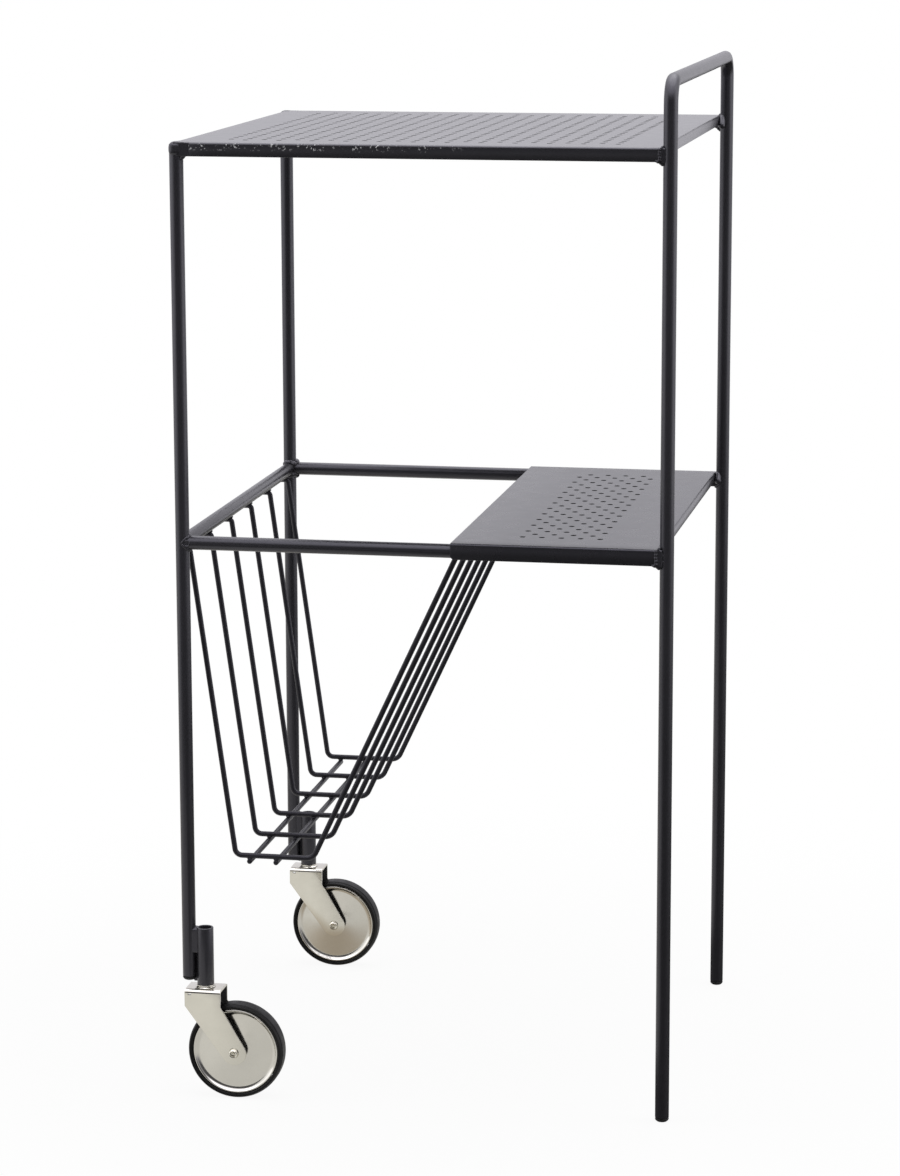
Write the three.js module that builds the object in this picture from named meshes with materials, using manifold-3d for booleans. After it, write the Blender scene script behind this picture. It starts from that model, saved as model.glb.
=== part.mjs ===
// Mobile file cart: a welded tube frame with a perforated top, a perforated half shelf,
// a wire file trough and two swivel casters under the left posts.
// Millimetres, +Z up, +X towards the handle, -Y is the front.
// The origin lies on the floor, midway between the four uprights.
import * as THREE from 'three';
import { mergeVertices } from 'three/addons/utils/BufferGeometryUtils.js';
import Module from 'manifold-3d';

const wasm = await Module();
wasm.setup();

// Tube frame
const POST_SPAN_X = 401.5; // left posts to handle legs, centre to centre
const POST_SPAN_Y = 387.2; // front to rear uprights, centre to centre
const TUBE_D = 11.5;
const TUBE_WALL = 1.2;
const RAIL_Z = 474.2; // axis of the rails at half height
const HANDLE_TOP_Z = 860;
const HANDLE_BEND_R = 18; // on the centre line
const CROWN_R = 2.5; // rounding of the weld crown on a left post
const PLUG_HEAD_T = 3; // glides and end plugs, below the tube
const PLUG_SHANK = 12; // glides and end plugs, inside the tube
const PLUG_EDGE_R = 1.2;
const FIT_GAP = 0.3; // between parts that touch

// Folded sheets
const SHEET_T = 1.5;
const TOP_DROP = 57.4; // upper face of the top tray, below the handle's top
const TOP_LEFT_REACH = 1.5; // past the left post axis
const TOP_END_LIP = 11.4; // front and rear lips, height
const TOP_SIDE_LIP = 8.5; // left and right lips, height
const SHELF_WIDTH = 170; // along X, up to the handle legs
const SHELF_FRONT_LIP = 13.5;
const SHELF_SIDE_LIP = 7.3;
const SHELF_REAR_REACH = 3; // past the rear rail axis
const LIP_SETBACK = 2.5; // weld gap between a lip's end and an upright
const CORNER_RELIEF = 1; // between neighbouring lips
const CROSS_RAIL_INSET = 4.4; // its axis, from the half shelf's left edge

// Perforation
const HOLE_D = 5;
const HOLE_PITCH = 16; // triangular pattern
const SHELF_PERF_SIDE_MARGIN = 50;
const SHELF_PERF_END_MARGIN = 38;
const TOP_PERF_SIDE_MARGIN = 38.5;
const TOP_PERF_END_MARGIN = 31;
const TOP_HOLE_STRIDE = 2; // the tray has one row in so many, and one hole in so many of each row

// File trough
const WIRE_D = 4.5;
const WIRE_COUNT = 6;
const TROUGH_DROP = 268.6; // from the rail axis down to the floor wires
const TROUGH_END_INSET = 16.6; // outer wires, from the post axes
const TROUGH_TOP_INSET = 1.6; // upper left corner, from the left post axis
const TROUGH_FLOOR_INSET = 37.3; // lower left corner, from the left post axis
const TROUGH_FLOOR_W = 66.4;
const TROUGH_LEFT_BEND_R = 6;
const TROUGH_RIGHT_BEND_R = 9;
const HOOK_BEND_R = 3;
const HOOK_LENGTH = 7; // stub under the left rail
const RUNNER_INSET = 12; // left runner, from the lower left corner
const RUNNER_SPACING = 22.7;
const RUNNER_OVERHANG = 2.4; // past the outer wires' axes

// Casters
const WHEEL_D = 82;
const TYRE_W = 18;
const TYRE_CROWN = 1.8; // fall from the middle of the tread to its shoulders
const TYRE_CROWN_POWER = 4; // higher is flatter in the middle
const RIM_D = 73;
const RIM_W = 14.4;
const RIM_RING_W = 1.5;
const DISC_DISH = 2.2; // recess of the disc inside its rim ring
const DISC_SLOPE_W = 3.9; // from the rim ring down to the flat of the disc
const DISC_T = 1.2;
const HUB_D = 12;
const AXLE_D = 6;
const AXLE_HEAD_D = 8.4;
const AXLE_HEAD_T = 3;
const NUT_FLATS = 10;
const NUT_T = 3;
const TRAIL = 26.5; // swivel axis to axle
const WHEEL_HEADROOM = 10.6; // tyre to the underside of the fork's top
const FORK_T = 2;
const FORK_W = 25; // over the outer faces
const FORK_L = 31; // top plate, along X
const FORK_CHEEK_H = 14.4; // upright part of the cheek's edges
const FORK_END_R = 10.5; // round end at the axle
const FORK_BEND_R = 3; // outer radius of the folds
const RACE_D = 17;
const RACE_T = 0.9;
const COLLAR_D = 15;
const COLLAR_T = 0.7;
const RIVET_D = 13;
const RIVET_T = 2;
const SOCKET_D = 14.2;
const SOCKET_WALL = 1.5;
const SOCKET_LENGTH = 49.2;
const SOCKET_STANDOFF = 1; // between the post and the socket
const STEM_REACH = 34; // inside the socket
const POST_FOOT_RISE = 3.2; // post's foot above the socket's foot
const WEB_LENGTH = 21;
const WEB_W = 9;
const WEB_DROP = 1; // below the socket's top

// Facets
const TUBE_SIDES = 16;
const WIRE_SIDES = 8;
const HOLE_SIDES = 6;
const TURNED_SIDES = 24;
const WHEEL_SIDES = 32;
const BEND_STEPS = 6;
const TREAD_STEPS = 8;

// Places that follow from the sizes above
const TUBE_R = TUBE_D / 2;
const BORE_R = TUBE_R - TUBE_WALL;
const WIRE_R = WIRE_D / 2;
const LEFT_X = -POST_SPAN_X / 2;
const RIGHT_X = POST_SPAN_X / 2;
const FRONT_Y = -POST_SPAN_Y / 2;
const REAR_Y = POST_SPAN_Y / 2;
const SHEET_RIGHT_X = RIGHT_X - TUBE_R - FIT_GAP;
const SHELF_LEFT_X = SHEET_RIGHT_X - SHELF_WIDTH;
const CROSS_RAIL_X = SHELF_LEFT_X + CROSS_RAIL_INSET;
const HANDLE_Z = HANDLE_TOP_Z - TUBE_R;
const TOP_Z = HANDLE_TOP_Z - TOP_DROP;
const AXLE_Z = WHEEL_D / 2;
const FORK_UNDER_Z = WHEEL_D + WHEEL_HEADROOM;
const FORK_TOP_Z = FORK_UNDER_Z + FORK_T;
const RACE_Z = FORK_TOP_Z + FIT_GAP;
const COLLAR_Z = RACE_Z + RACE_T + FIT_GAP;
const SOCKET_Z = COLLAR_Z + COLLAR_T + FIT_GAP;
const SOCKET_TOP_Z = SOCKET_Z + SOCKET_LENGTH;
const SOCKET_OFFSET = TUBE_R + SOCKET_STANDOFF + SOCKET_D / 2;
const POST_FOOT_Z = SOCKET_Z + POST_FOOT_RISE;

// Finishes
const blackLacquer = new THREE.MeshStandardMaterial({ color: 0x303034, roughness: 0.45, metalness: 0.2 });
const brightPlate = new THREE.MeshStandardMaterial({ color: 0xcbc8bf, roughness: 0.25, metalness: 1 });
const blackRubber = new THREE.MeshStandardMaterial({ color: 0x18181a, roughness: 0.75, metalness: 0 });
const blackPlastic = new THREE.MeshStandardMaterial({ color: 0x202022, roughness: 0.6, metalness: 0 });

// Closed solids from surface geometry, and back

function solid(geometry) {
  const bare = geometry.index ? geometry.toNonIndexed() : geometry.clone();
  bare.deleteAttribute('normal');
  bare.deleteAttribute('uv');
  const merged = mergeVertices(bare, 1e-4);
  return new wasm.Manifold(new wasm.Mesh({
    numProp: 3,
    vertProperties: new Float32Array(merged.attributes.position.array),
    triVerts: withoutSlivers(merged.index.array),
  }));
}

function withoutSlivers(index) {
  const kept = [];
  for (let i = 0; i < index.length; i += 3) {
    const [a, b, c] = index.slice(i, i + 3);
    if (a !== b && b !== c && c !== a) kept.push(a, b, c);
  }
  return new Uint32Array(kept);
}

function piece(name, body, material) {
  const { vertProperties, triVerts } = body.getMesh();
  const geometry = new THREE.BufferGeometry();
  geometry.setAttribute('position', new THREE.BufferAttribute(vertProperties, 3));
  geometry.setIndex(new THREE.BufferAttribute(triVerts, 1));
  geometry.computeVertexNormals();
  const mesh = new THREE.Mesh(geometry, material);
  mesh.name = name;
  return mesh;
}

// Basic forms

const point = (x, y, z) => new THREE.Vector3(x, y, z);

function circlePoints(radius, sides, x = 0, y = 0) {
  const points = [];
  for (let i = 0; i < sides; i += 1) {
    const angle = (2 * Math.PI * i) / sides;
    points.push(new THREE.Vector2(x + radius * Math.cos(angle), y + radius * Math.sin(angle)));
  }
  return points;
}

function box(low, high) {
  const size = high.clone().sub(low);
  const middle = low.clone().add(high).multiplyScalar(0.5);
  const geometry = new THREE.BoxGeometry(size.x, size.y, size.z);
  return solid(geometry.translate(middle.x, middle.y, middle.z));
}

// A round bar along Z, or along Y when alongY is true
function bar(radius, length, sides, centre, alongY = false) {
  const geometry = new THREE.CylinderGeometry(radius, radius, length, sides);
  if (!alongY) geometry.rotateX(Math.PI / 2);
  return solid(geometry.translate(centre.x, centre.y, centre.z));
}

// A turned part about Z: the profile holds (radius, height) pairs, anticlockwise
function turned(profile, sides) {
  const points = profile.map(([radius, height]) => new THREE.Vector2(radius, height));
  const geometry = new THREE.LatheGeometry(points, sides);
  return solid(geometry.rotateX(Math.PI / 2));
}

// The stations where a bent tube or wire changes direction
class BentPath extends THREE.Curve {
  constructor(stations) {
    super();
    this.stations = stations;
  }

  getSpacedPoints() {
    return this.stations.map((station) => station.place.clone());
  }

  getTangentAt(u, target = new THREE.Vector3()) {
    const index = Math.round(u * (this.stations.length - 1));
    return target.copy(this.stations[index].heading);
  }
}

// Straight runs between the corners, with a round bend of the given radius at each inner corner
function bentPath(corners, bendRadii) {
  const heading = (i) => corners[i + 1].clone().sub(corners[i]).normalize();
  const stations = [{ place: corners[0], heading: heading(0) }];
  for (let i = 1; i < corners.length - 1; i += 1) {
    const before = heading(i - 1);
    const after = heading(i);
    const turn = before.angleTo(after);
    const radius = bendRadii[i - 1];
    const start = corners[i].clone().addScaledVector(before, -radius * Math.tan(turn / 2));
    const hinge = before.clone().cross(after).normalize();
    const inward = hinge.clone().cross(before);
    const centre = start.clone().addScaledVector(inward, radius);
    for (let step = 0; step <= BEND_STEPS; step += 1) {
      const angle = (turn * step) / BEND_STEPS;
      const spoke = inward.clone().multiplyScalar(-radius).applyAxisAngle(hinge, angle);
      const along = before.clone().applyAxisAngle(hinge, angle);
      stations.push({ place: centre.clone().add(spoke), heading: along });
    }
  }
  stations.push({ place: corners[corners.length - 1], heading: heading(corners.length - 2) });
  return new BentPath(stations);
}

function sweep(path, radius, sides, boreRadius = 0) {
  const section = new THREE.Shape(circlePoints(radius, sides));
  if (boreRadius > 0) section.holes.push(new THREE.Path(circlePoints(boreRadius, sides).reverse()));
  const options = { steps: path.stations.length - 1, extrudePath: path };
  return solid(new THREE.ExtrudeGeometry(section, options));
}

const straightTube = (from, to) => sweep(bentPath([from, to], []), TUBE_R, TUBE_SIDES, BORE_R);

// The room that a tube needs where another is coped round it
const tubeRoom = (from, to) => sweep(bentPath([from, to], []), TUBE_R + FIT_GAP, TUBE_SIDES);

// Uprights and rails

const uprightRoom = (x, y) => tubeRoom(point(x, y, 0), point(x, y, HANDLE_TOP_Z));
const longRailRoom = (y) => tubeRoom(point(LEFT_X, y, RAIL_Z), point(RIGHT_X, y, RAIL_Z));

function leftPost(name, y) {
  const foot = POST_FOOT_Z + PLUG_HEAD_T + FIT_GAP;
  const top = TOP_Z - SHEET_T - FIT_GAP;
  const profile = [
    [0, top - TUBE_D],
    [BORE_R, top - TUBE_D],
    [BORE_R, foot],
    [TUBE_R, foot],
    [TUBE_R, top - CROWN_R],
    [TUBE_R - CROWN_R * (1 - Math.SQRT1_2), top - CROWN_R * (1 - Math.SQRT1_2)],
    [TUBE_R - CROWN_R, top],
    [0, top],
  ];
  const post = piece(name, turned(profile, TUBE_SIDES), blackLacquer);
  post.position.set(LEFT_X, y, 0);
  return post;
}

function tubePlug(name, x, y, z) {
  const shankR = BORE_R - FIT_GAP;
  const profile = [
    [0, 0],
    [TUBE_R - PLUG_EDGE_R, 0],
    [TUBE_R, PLUG_EDGE_R],
    [TUBE_R, PLUG_HEAD_T],
    [shankR, PLUG_HEAD_T],
    [shankR, PLUG_HEAD_T + PLUG_SHANK],
    [0, PLUG_HEAD_T + PLUG_SHANK],
  ];
  const plug = piece(name, turned(profile, TUBE_SIDES), blackPlastic);
  plug.position.set(x, y, z);
  return plug;
}

function handleLegTube() {
  const foot = PLUG_HEAD_T + FIT_GAP;
  const path = bentPath([
    point(RIGHT_X, FRONT_Y, foot),
    point(RIGHT_X, FRONT_Y, HANDLE_Z),
    point(RIGHT_X, REAR_Y, HANDLE_Z),
    point(RIGHT_X, REAR_Y, foot),
  ], [HANDLE_BEND_R, HANDLE_BEND_R]);
  return piece('handle_leg_tube', sweep(path, TUBE_R, TUBE_SIDES, BORE_R), blackLacquer);
}

function leftRail() {
  const rail = straightTube(point(LEFT_X, FRONT_Y, RAIL_Z), point(LEFT_X, REAR_Y, RAIL_Z))
    .subtract(uprightRoom(LEFT_X, FRONT_Y))
    .subtract(uprightRoom(LEFT_X, REAR_Y))
    .subtract(longRailRoom(FRONT_Y))
    .subtract(longRailRoom(REAR_Y));
  return piece('left_rail', rail, blackLacquer);
}

function longRail(name, y) {
  const rail = straightTube(point(LEFT_X, y, RAIL_Z), point(RIGHT_X, y, RAIL_Z))
    .subtract(uprightRoom(LEFT_X, y))
    .subtract(uprightRoom(RIGHT_X, y));
  return piece(name, rail, blackLacquer);
}

function shelfCrossRail() {
  const rail = straightTube(point(CROSS_RAIL_X, FRONT_Y, RAIL_Z), point(CROSS_RAIL_X, REAR_Y, RAIL_Z))
    .subtract(longRailRoom(FRONT_Y))
    .subtract(longRailRoom(REAR_Y));
  return piece('shelf_cross_rail', rail, blackLacquer);
}

// Folded sheets

const countAt = (room, pitch) => Math.floor(room / pitch) + 1;

// Rows of holes about the origin, along X, every second row one hole shorter and half a pitch in
function staggeredHoles(rowRoom, rowsRoom, stride = 1) {
  const rowPitch = HOLE_PITCH * Math.sin(Math.PI / 3);
  const rows = countAt(rowsRoom, rowPitch);
  const longRow = countAt(rowRoom, HOLE_PITCH);
  const centres = [];
  for (let row = stride - 1; row < rows; row += stride) {
    const count = longRow - (row % 2);
    const across = (row - (rows - 1) / 2) * rowPitch;
    for (let i = 0; i < count; i += stride) {
      centres.push(new THREE.Vector2((i - (count - 1) / 2) * HOLE_PITCH, across));
    }
  }
  return centres;
}

function sheet(low, high, topZ) {
  return box(point(low.x, low.y, topZ - SHEET_T), point(high.x, high.y, topZ));
}

function punched(plate, centres, topZ) {
  const punchLength = 4 * SHEET_T;
  const punches = centres.map(({ x, y }) => bar(HOLE_D / 2, punchLength, HOLE_SIDES, point(x, y, topZ)));
  return plate.subtract(wasm.Manifold.union(punches));
}

function topTray() {
  const low = new THREE.Vector2(LEFT_X - TOP_LEFT_REACH, FRONT_Y - TUBE_R);
  const high = new THREE.Vector2(SHEET_RIGHT_X, REAR_Y + TUBE_R);
  const endLipZ = TOP_Z - TOP_END_LIP;
  const sideLipZ = TOP_Z - TOP_SIDE_LIP;
  const lipLeftX = LEFT_X + TUBE_R + LIP_SETBACK;
  const lipRightX = RIGHT_X - TUBE_R - LIP_SETBACK;
  const leftLipFrontY = FRONT_Y + TUBE_R + LIP_SETBACK;
  const leftLipRearY = REAR_Y - TUBE_R - LIP_SETBACK;
  const rightLipFrontY = low.y + SHEET_T + CORNER_RELIEF;
  const rightLipRearY = high.y - SHEET_T - CORNER_RELIEF;
  const middle = low.clone().add(high).multiplyScalar(0.5);
  const rowRoom = high.y - low.y - 2 * TOP_PERF_END_MARGIN;
  const rowsRoom = high.x - low.x - 2 * TOP_PERF_SIDE_MARGIN;
  const holes = staggeredHoles(rowRoom, rowsRoom, TOP_HOLE_STRIDE)
    .map((hole) => new THREE.Vector2(middle.x - hole.y, middle.y + hole.x));
  const tray = punched(sheet(low, high, TOP_Z), holes, TOP_Z)
    .add(box(point(lipLeftX, low.y, endLipZ), point(lipRightX, low.y + SHEET_T, TOP_Z)))
    .add(box(point(lipLeftX, high.y - SHEET_T, endLipZ), point(lipRightX, high.y, TOP_Z)))
    .add(box(point(low.x, leftLipFrontY, sideLipZ), point(low.x + SHEET_T, leftLipRearY, TOP_Z)))
    .add(box(point(high.x - SHEET_T, rightLipFrontY, sideLipZ), point(high.x, rightLipRearY, TOP_Z)));
  return piece('top_tray', tray, blackLacquer);
}

function halfShelf() {
  const topZ = RAIL_Z + TUBE_R + FIT_GAP + SHEET_T;
  const low = new THREE.Vector2(SHELF_LEFT_X, FRONT_Y - TUBE_R - FIT_GAP - SHEET_T);
  const high = new THREE.Vector2(SHEET_RIGHT_X, REAR_Y + SHELF_REAR_REACH);
  const middle = low.clone().add(high).multiplyScalar(0.5);
  const rowRoom = high.x - low.x - 2 * SHELF_PERF_SIDE_MARGIN;
  const rowsRoom = high.y - low.y - 2 * SHELF_PERF_END_MARGIN;
  const holes = staggeredHoles(rowRoom, rowsRoom).map((hole) => hole.add(middle));
  const lipRightX = RIGHT_X - TUBE_R - LIP_SETBACK;
  const sideLipFrontY = FRONT_Y + TUBE_R + FIT_GAP;
  const sideLipRearY = REAR_Y - TUBE_R - FIT_GAP;
  const frontLipLow = point(low.x, low.y, topZ - SHELF_FRONT_LIP);
  const sideLipLow = point(high.x - SHEET_T, sideLipFrontY, topZ - SHELF_SIDE_LIP);
  const shelf = punched(sheet(low, high, topZ), holes, topZ)
    .add(box(frontLipLow, point(lipRightX, low.y + SHEET_T, topZ)))
    .add(box(sideLipLow, point(high.x, sideLipRearY, topZ)));
  return piece('half_shelf', shelf, blackLacquer);
}

// File trough

const TROUGH_FLOOR_Z = RAIL_Z - TROUGH_DROP;
const TROUGH_FLOOR_X = LEFT_X + TROUGH_FLOOR_INSET;
const FIRST_WIRE_Y = FRONT_Y + TROUGH_END_INSET;
const LAST_WIRE_Y = REAR_Y - TROUGH_END_INSET;

function troughWire(number) {
  const y = FIRST_WIRE_Y + ((LAST_WIRE_Y - FIRST_WIRE_Y) * (number - 1)) / (WIRE_COUNT - 1);
  const hookX = LEFT_X + TROUGH_TOP_INSET;
  const hookZ = RAIL_Z - TUBE_R - FIT_GAP - WIRE_R;
  const lowerRight = point(TROUGH_FLOOR_X + TROUGH_FLOOR_W, y, TROUGH_FLOOR_Z);
  const crossRail = point(CROSS_RAIL_X, y, RAIL_Z);
  const climb = crossRail.clone().sub(lowerRight).normalize();
  const path = bentPath([
    point(hookX - HOOK_LENGTH, y, hookZ),
    point(hookX, y, hookZ),
    point(TROUGH_FLOOR_X, y, TROUGH_FLOOR_Z),
    lowerRight,
    crossRail.addScaledVector(climb, -TUBE_R - FIT_GAP),
  ], [HOOK_BEND_R, TROUGH_LEFT_BEND_R, TROUGH_RIGHT_BEND_R]);
  return piece(`basket_wire_${number}`, sweep(path, WIRE_R, WIRE_SIDES), blackLacquer);
}

function troughRunner(name, inset) {
  const x = TROUGH_FLOOR_X + inset;
  const z = TROUGH_FLOOR_Z - WIRE_D - FIT_GAP;
  const from = point(x, FIRST_WIRE_Y - RUNNER_OVERHANG, z);
  const to = point(x, LAST_WIRE_Y + RUNNER_OVERHANG, z);
  return piece(name, sweep(bentPath([from, to], []), WIRE_R, WIRE_SIDES), blackLacquer);
}

// Casters, each about its own upright swivel axis

function casterSocket() {
  const boreR = SOCKET_D / 2 - SOCKET_WALL;
  return turned([
    [boreR, SOCKET_Z],
    [SOCKET_D / 2, SOCKET_Z],
    [SOCKET_D / 2, SOCKET_TOP_Z],
    [boreR, SOCKET_TOP_Z],
    [boreR, SOCKET_Z],
  ], TURNED_SIDES);
}

function casterWeb() {
  const top = SOCKET_TOP_Z - WEB_DROP;
  const middle = top - WEB_LENGTH / 2;
  const reach = 2 * WEB_LENGTH;
  const block = box(point(-SOCKET_OFFSET, -WEB_W / 2, top - WEB_LENGTH), point(0, WEB_W / 2, top));
  return block
    .subtract(bar(TUBE_R + FIT_GAP, reach, TUBE_SIDES, point(-SOCKET_OFFSET, 0, middle)))
    .subtract(bar(SOCKET_D / 2 + FIT_GAP, reach, TURNED_SIDES, point(0, 0, middle)));
}

function casterStem() {
  const stemR = SOCKET_D / 2 - SOCKET_WALL - FIT_GAP;
  const rivetTop = FORK_UNDER_Z - FIT_GAP;
  const collarTop = COLLAR_Z + COLLAR_T;
  return turned([
    [0, rivetTop - RIVET_T],
    [RIVET_D / 2, rivetTop - RIVET_T],
    [RIVET_D / 2, rivetTop],
    [stemR, rivetTop],
    [stemR, COLLAR_Z],
    [COLLAR_D / 2, COLLAR_Z],
    [COLLAR_D / 2, collarTop],
    [stemR, collarTop],
    [stemR, SOCKET_Z + STEM_REACH],
    [0, SOCKET_Z + STEM_REACH],
  ], TURNED_SIDES);
}

const PIVOT_HOLE_R = SOCKET_D / 2 - SOCKET_WALL;

function swivelRace() {
  const groove = RACE_T / 2;
  return turned([
    [PIVOT_HOLE_R, RACE_Z],
    [RACE_D / 2, RACE_Z],
    [RACE_D / 2, RACE_Z + groove],
    [RACE_D / 2 - groove, RACE_Z + RACE_T],
    [PIVOT_HOLE_R, RACE_Z + RACE_T],
    [PIVOT_HOLE_R, RACE_Z],
  ], TURNED_SIDES);
}

// The point where a line from a corner of the cheek touches the round end at the axle
function tangentAngle(cornerX, cornerZ, side) {
  const away = new THREE.Vector2(TRAIL - cornerX, AXLE_Z - cornerZ);
  return away.angle() + side * (Math.asin(FORK_END_R / away.length()) + Math.PI / 2);
}

function forkCheek() {
  const shoulderZ = FORK_TOP_Z - FORK_CHEEK_H;
  const outline = new THREE.Shape();
  outline.moveTo(-FORK_L / 2, FORK_TOP_Z);
  outline.lineTo(-FORK_L / 2, shoulderZ);
  const enter = tangentAngle(-FORK_L / 2, shoulderZ, -1);
  const leave = tangentAngle(FORK_L / 2, shoulderZ, 1);
  outline.absarc(TRAIL, AXLE_Z, FORK_END_R, enter, leave, false);
  outline.lineTo(FORK_L / 2, shoulderZ);
  outline.lineTo(FORK_L / 2, FORK_TOP_Z);
  const options = { depth: FORK_W, bevelEnabled: false, curveSegments: BEND_STEPS };
  const geometry = new THREE.ExtrudeGeometry(outline, options).rotateX(Math.PI / 2);
  return solid(geometry.translate(0, FORK_W / 2, 0));
}

// The folded strip that both cheeks and the top plate are cut from, seen along X
function forkStrip() {
  const half = FORK_W / 2;
  const inner = half - FORK_T;
  const innerR = FORK_BEND_R - FORK_T;
  const foot = AXLE_Z - 2 * FORK_END_R;
  const strip = new THREE.Shape();
  strip.moveTo(half, foot);
  strip.absarc(half - FORK_BEND_R, FORK_TOP_Z - FORK_BEND_R, FORK_BEND_R, 0, Math.PI / 2, false);
  strip.absarc(FORK_BEND_R - half, FORK_TOP_Z - FORK_BEND_R, FORK_BEND_R, Math.PI / 2, Math.PI, false);
  strip.lineTo(-half, foot);
  strip.lineTo(-inner, foot);
  strip.absarc(innerR - inner, FORK_UNDER_Z - innerR, innerR, Math.PI, Math.PI / 2, true);
  strip.absarc(inner - innerR, FORK_UNDER_Z - innerR, innerR, Math.PI / 2, 0, true);
  strip.lineTo(inner, foot);
  const length = FORK_L + 2 * (TRAIL + FORK_END_R);
  const options = { depth: length, bevelEnabled: false, curveSegments: BEND_STEPS / 3 };
  const geometry = new THREE.ExtrudeGeometry(strip, options);
  geometry.rotateX(Math.PI / 2).rotateZ(Math.PI / 2);
  return solid(geometry.translate(-length / 2, 0, 0));
}

function fork() {
  const axleHole = bar(AXLE_D / 2 + FIT_GAP, 2 * FORK_W, TURNED_SIDES, point(TRAIL, 0, AXLE_Z), true);
  const pivotHole = bar(PIVOT_HOLE_R, 4 * FORK_T, TURNED_SIDES, point(0, 0, FORK_TOP_Z));
  return forkCheek().intersect(forkStrip()).subtract(axleHole).subtract(pivotHole);
}

// Wheel parts are turned about Z and then laid along the axle
function onAxle(body) {
  return body.rotate([90, 0, 0]).translate([TRAIL, 0, AXLE_Z]);
}

function axle() {
  const seat = FORK_W / 2 + FIT_GAP;
  const headTop = seat + AXLE_HEAD_T;
  const edge = AXLE_HEAD_T / 2;
  return onAxle(turned([
    [0, -seat - NUT_T],
    [AXLE_D / 2, -seat - NUT_T],
    [AXLE_D / 2, seat],
    [AXLE_HEAD_D / 2, seat],
    [AXLE_HEAD_D / 2, seat + edge],
    [AXLE_HEAD_D / 2 - edge, headTop],
    [0, headTop],
  ], TURNED_SIDES));
}

function axleNut() {
  const seat = FORK_W / 2 + FIT_GAP;
  const section = new THREE.Shape(circlePoints(NUT_FLATS / Math.sqrt(3), 6));
  section.holes.push(new THREE.Path(circlePoints(AXLE_D / 2 + FIT_GAP, TURNED_SIDES).reverse()));
  const geometry = new THREE.ExtrudeGeometry(section, { depth: NUT_T, bevelEnabled: false });
  return onAxle(solid(geometry.translate(0, 0, -seat - NUT_T)));
}

function hubBush() {
  const half = FORK_W / 2 - FORK_T - FIT_GAP;
  const boreR = AXLE_D / 2 + FIT_GAP;
  return onAxle(turned([
    [boreR, -half],
    [HUB_D / 2, -half],
    [HUB_D / 2, half],
    [boreR, half],
    [boreR, -half],
  ], TURNED_SIDES));
}

// A dished disc with a raised ring and half of the tyre's seat; the inner one is turned over
function wheelDisc(turnedOver) {
  const boreR = HUB_D / 2 + FIT_GAP;
  const rimR = RIM_D / 2;
  const ringR = rimR - RIM_RING_W;
  const face = RIM_W / 2;
  const flatR = ringR - DISC_SLOPE_W;
  const web = face - DISC_DISH;
  const disc = turned([
    [boreR, web - DISC_T],
    [flatR, web - DISC_T],
    [ringR, face - DISC_T],
    [rimR - DISC_T, face - DISC_T],
    [rimR - DISC_T, FIT_GAP / 2],
    [rimR, FIT_GAP / 2],
    [rimR, face],
    [ringR, face],
    [flatR, web],
    [boreR, web],
    [boreR, web - DISC_T],
  ], WHEEL_SIDES);
  return onAxle(turnedOver ? disc.rotate([180, 0, 0]) : disc);
}

function tyre() {
  const seatR = RIM_D / 2 + FIT_GAP;
  const profile = [[seatR, -RIM_W / 2]];
  for (let step = 0; step <= TREAD_STEPS; step += 1) {
    const across = (2 * step) / TREAD_STEPS - 1;
    const radius = WHEEL_D / 2 - TYRE_CROWN * Math.abs(across) ** TYRE_CROWN_POWER;
    profile.push([radius, (across * TYRE_W) / 2]);
  }
  profile.push([seatR, RIM_W / 2], [seatR, -RIM_W / 2]);
  return onAxle(turned(profile, WHEEL_SIDES));
}

function caster(side, postY) {
  const group = new THREE.Group();
  group.position.set(LEFT_X + SOCKET_OFFSET, postY, 0);
  group.add(
    piece(`${side}_caster_socket`, casterSocket(), blackLacquer),
    piece(`${side}_caster_web`, casterWeb(), blackLacquer),
    piece(`${side}_caster_stem`, casterStem(), brightPlate),
    piece(`${side}_swivel_race`, swivelRace(), brightPlate),
    piece(`${side}_fork`, fork(), brightPlate),
    piece(`${side}_axle`, axle(), brightPlate),
    piece(`${side}_axle_nut`, axleNut(), brightPlate),
    piece(`${side}_hub_bush`, hubBush(), brightPlate),
    piece(`${side}_outer_disc`, wheelDisc(false), brightPlate),
    piece(`${side}_inner_disc`, wheelDisc(true), brightPlate),
    piece(`${side}_tyre`, tyre(), blackRubber),
  );
  return group;
}

// The whole cart

const cart = new THREE.Group();
cart.add(
  leftPost('front_left_post', FRONT_Y),
  leftPost('rear_left_post', REAR_Y),
  tubePlug('front_left_post_plug', LEFT_X, FRONT_Y, POST_FOOT_Z),
  tubePlug('rear_left_post_plug', LEFT_X, REAR_Y, POST_FOOT_Z),
  handleLegTube(),
  tubePlug('front_leg_glide', RIGHT_X, FRONT_Y, 0),
  tubePlug('rear_leg_glide', RIGHT_X, REAR_Y, 0),
  leftRail(),
  longRail('front_rail', FRONT_Y),
  longRail('rear_rail', REAR_Y),
  shelfCrossRail(),
  topTray(),
  halfShelf(),
);
for (let number = 1; number <= WIRE_COUNT; number += 1) cart.add(troughWire(number));
cart.add(
  troughRunner('basket_runner_left', RUNNER_INSET),
  troughRunner('basket_runner_right', RUNNER_INSET + RUNNER_SPACING),
  caster('front', FRONT_Y),
  caster('rear', REAR_Y),
);

export default cart;
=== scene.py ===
import math

import bmesh
import bpy
from mathutils import Matrix, Vector


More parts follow.
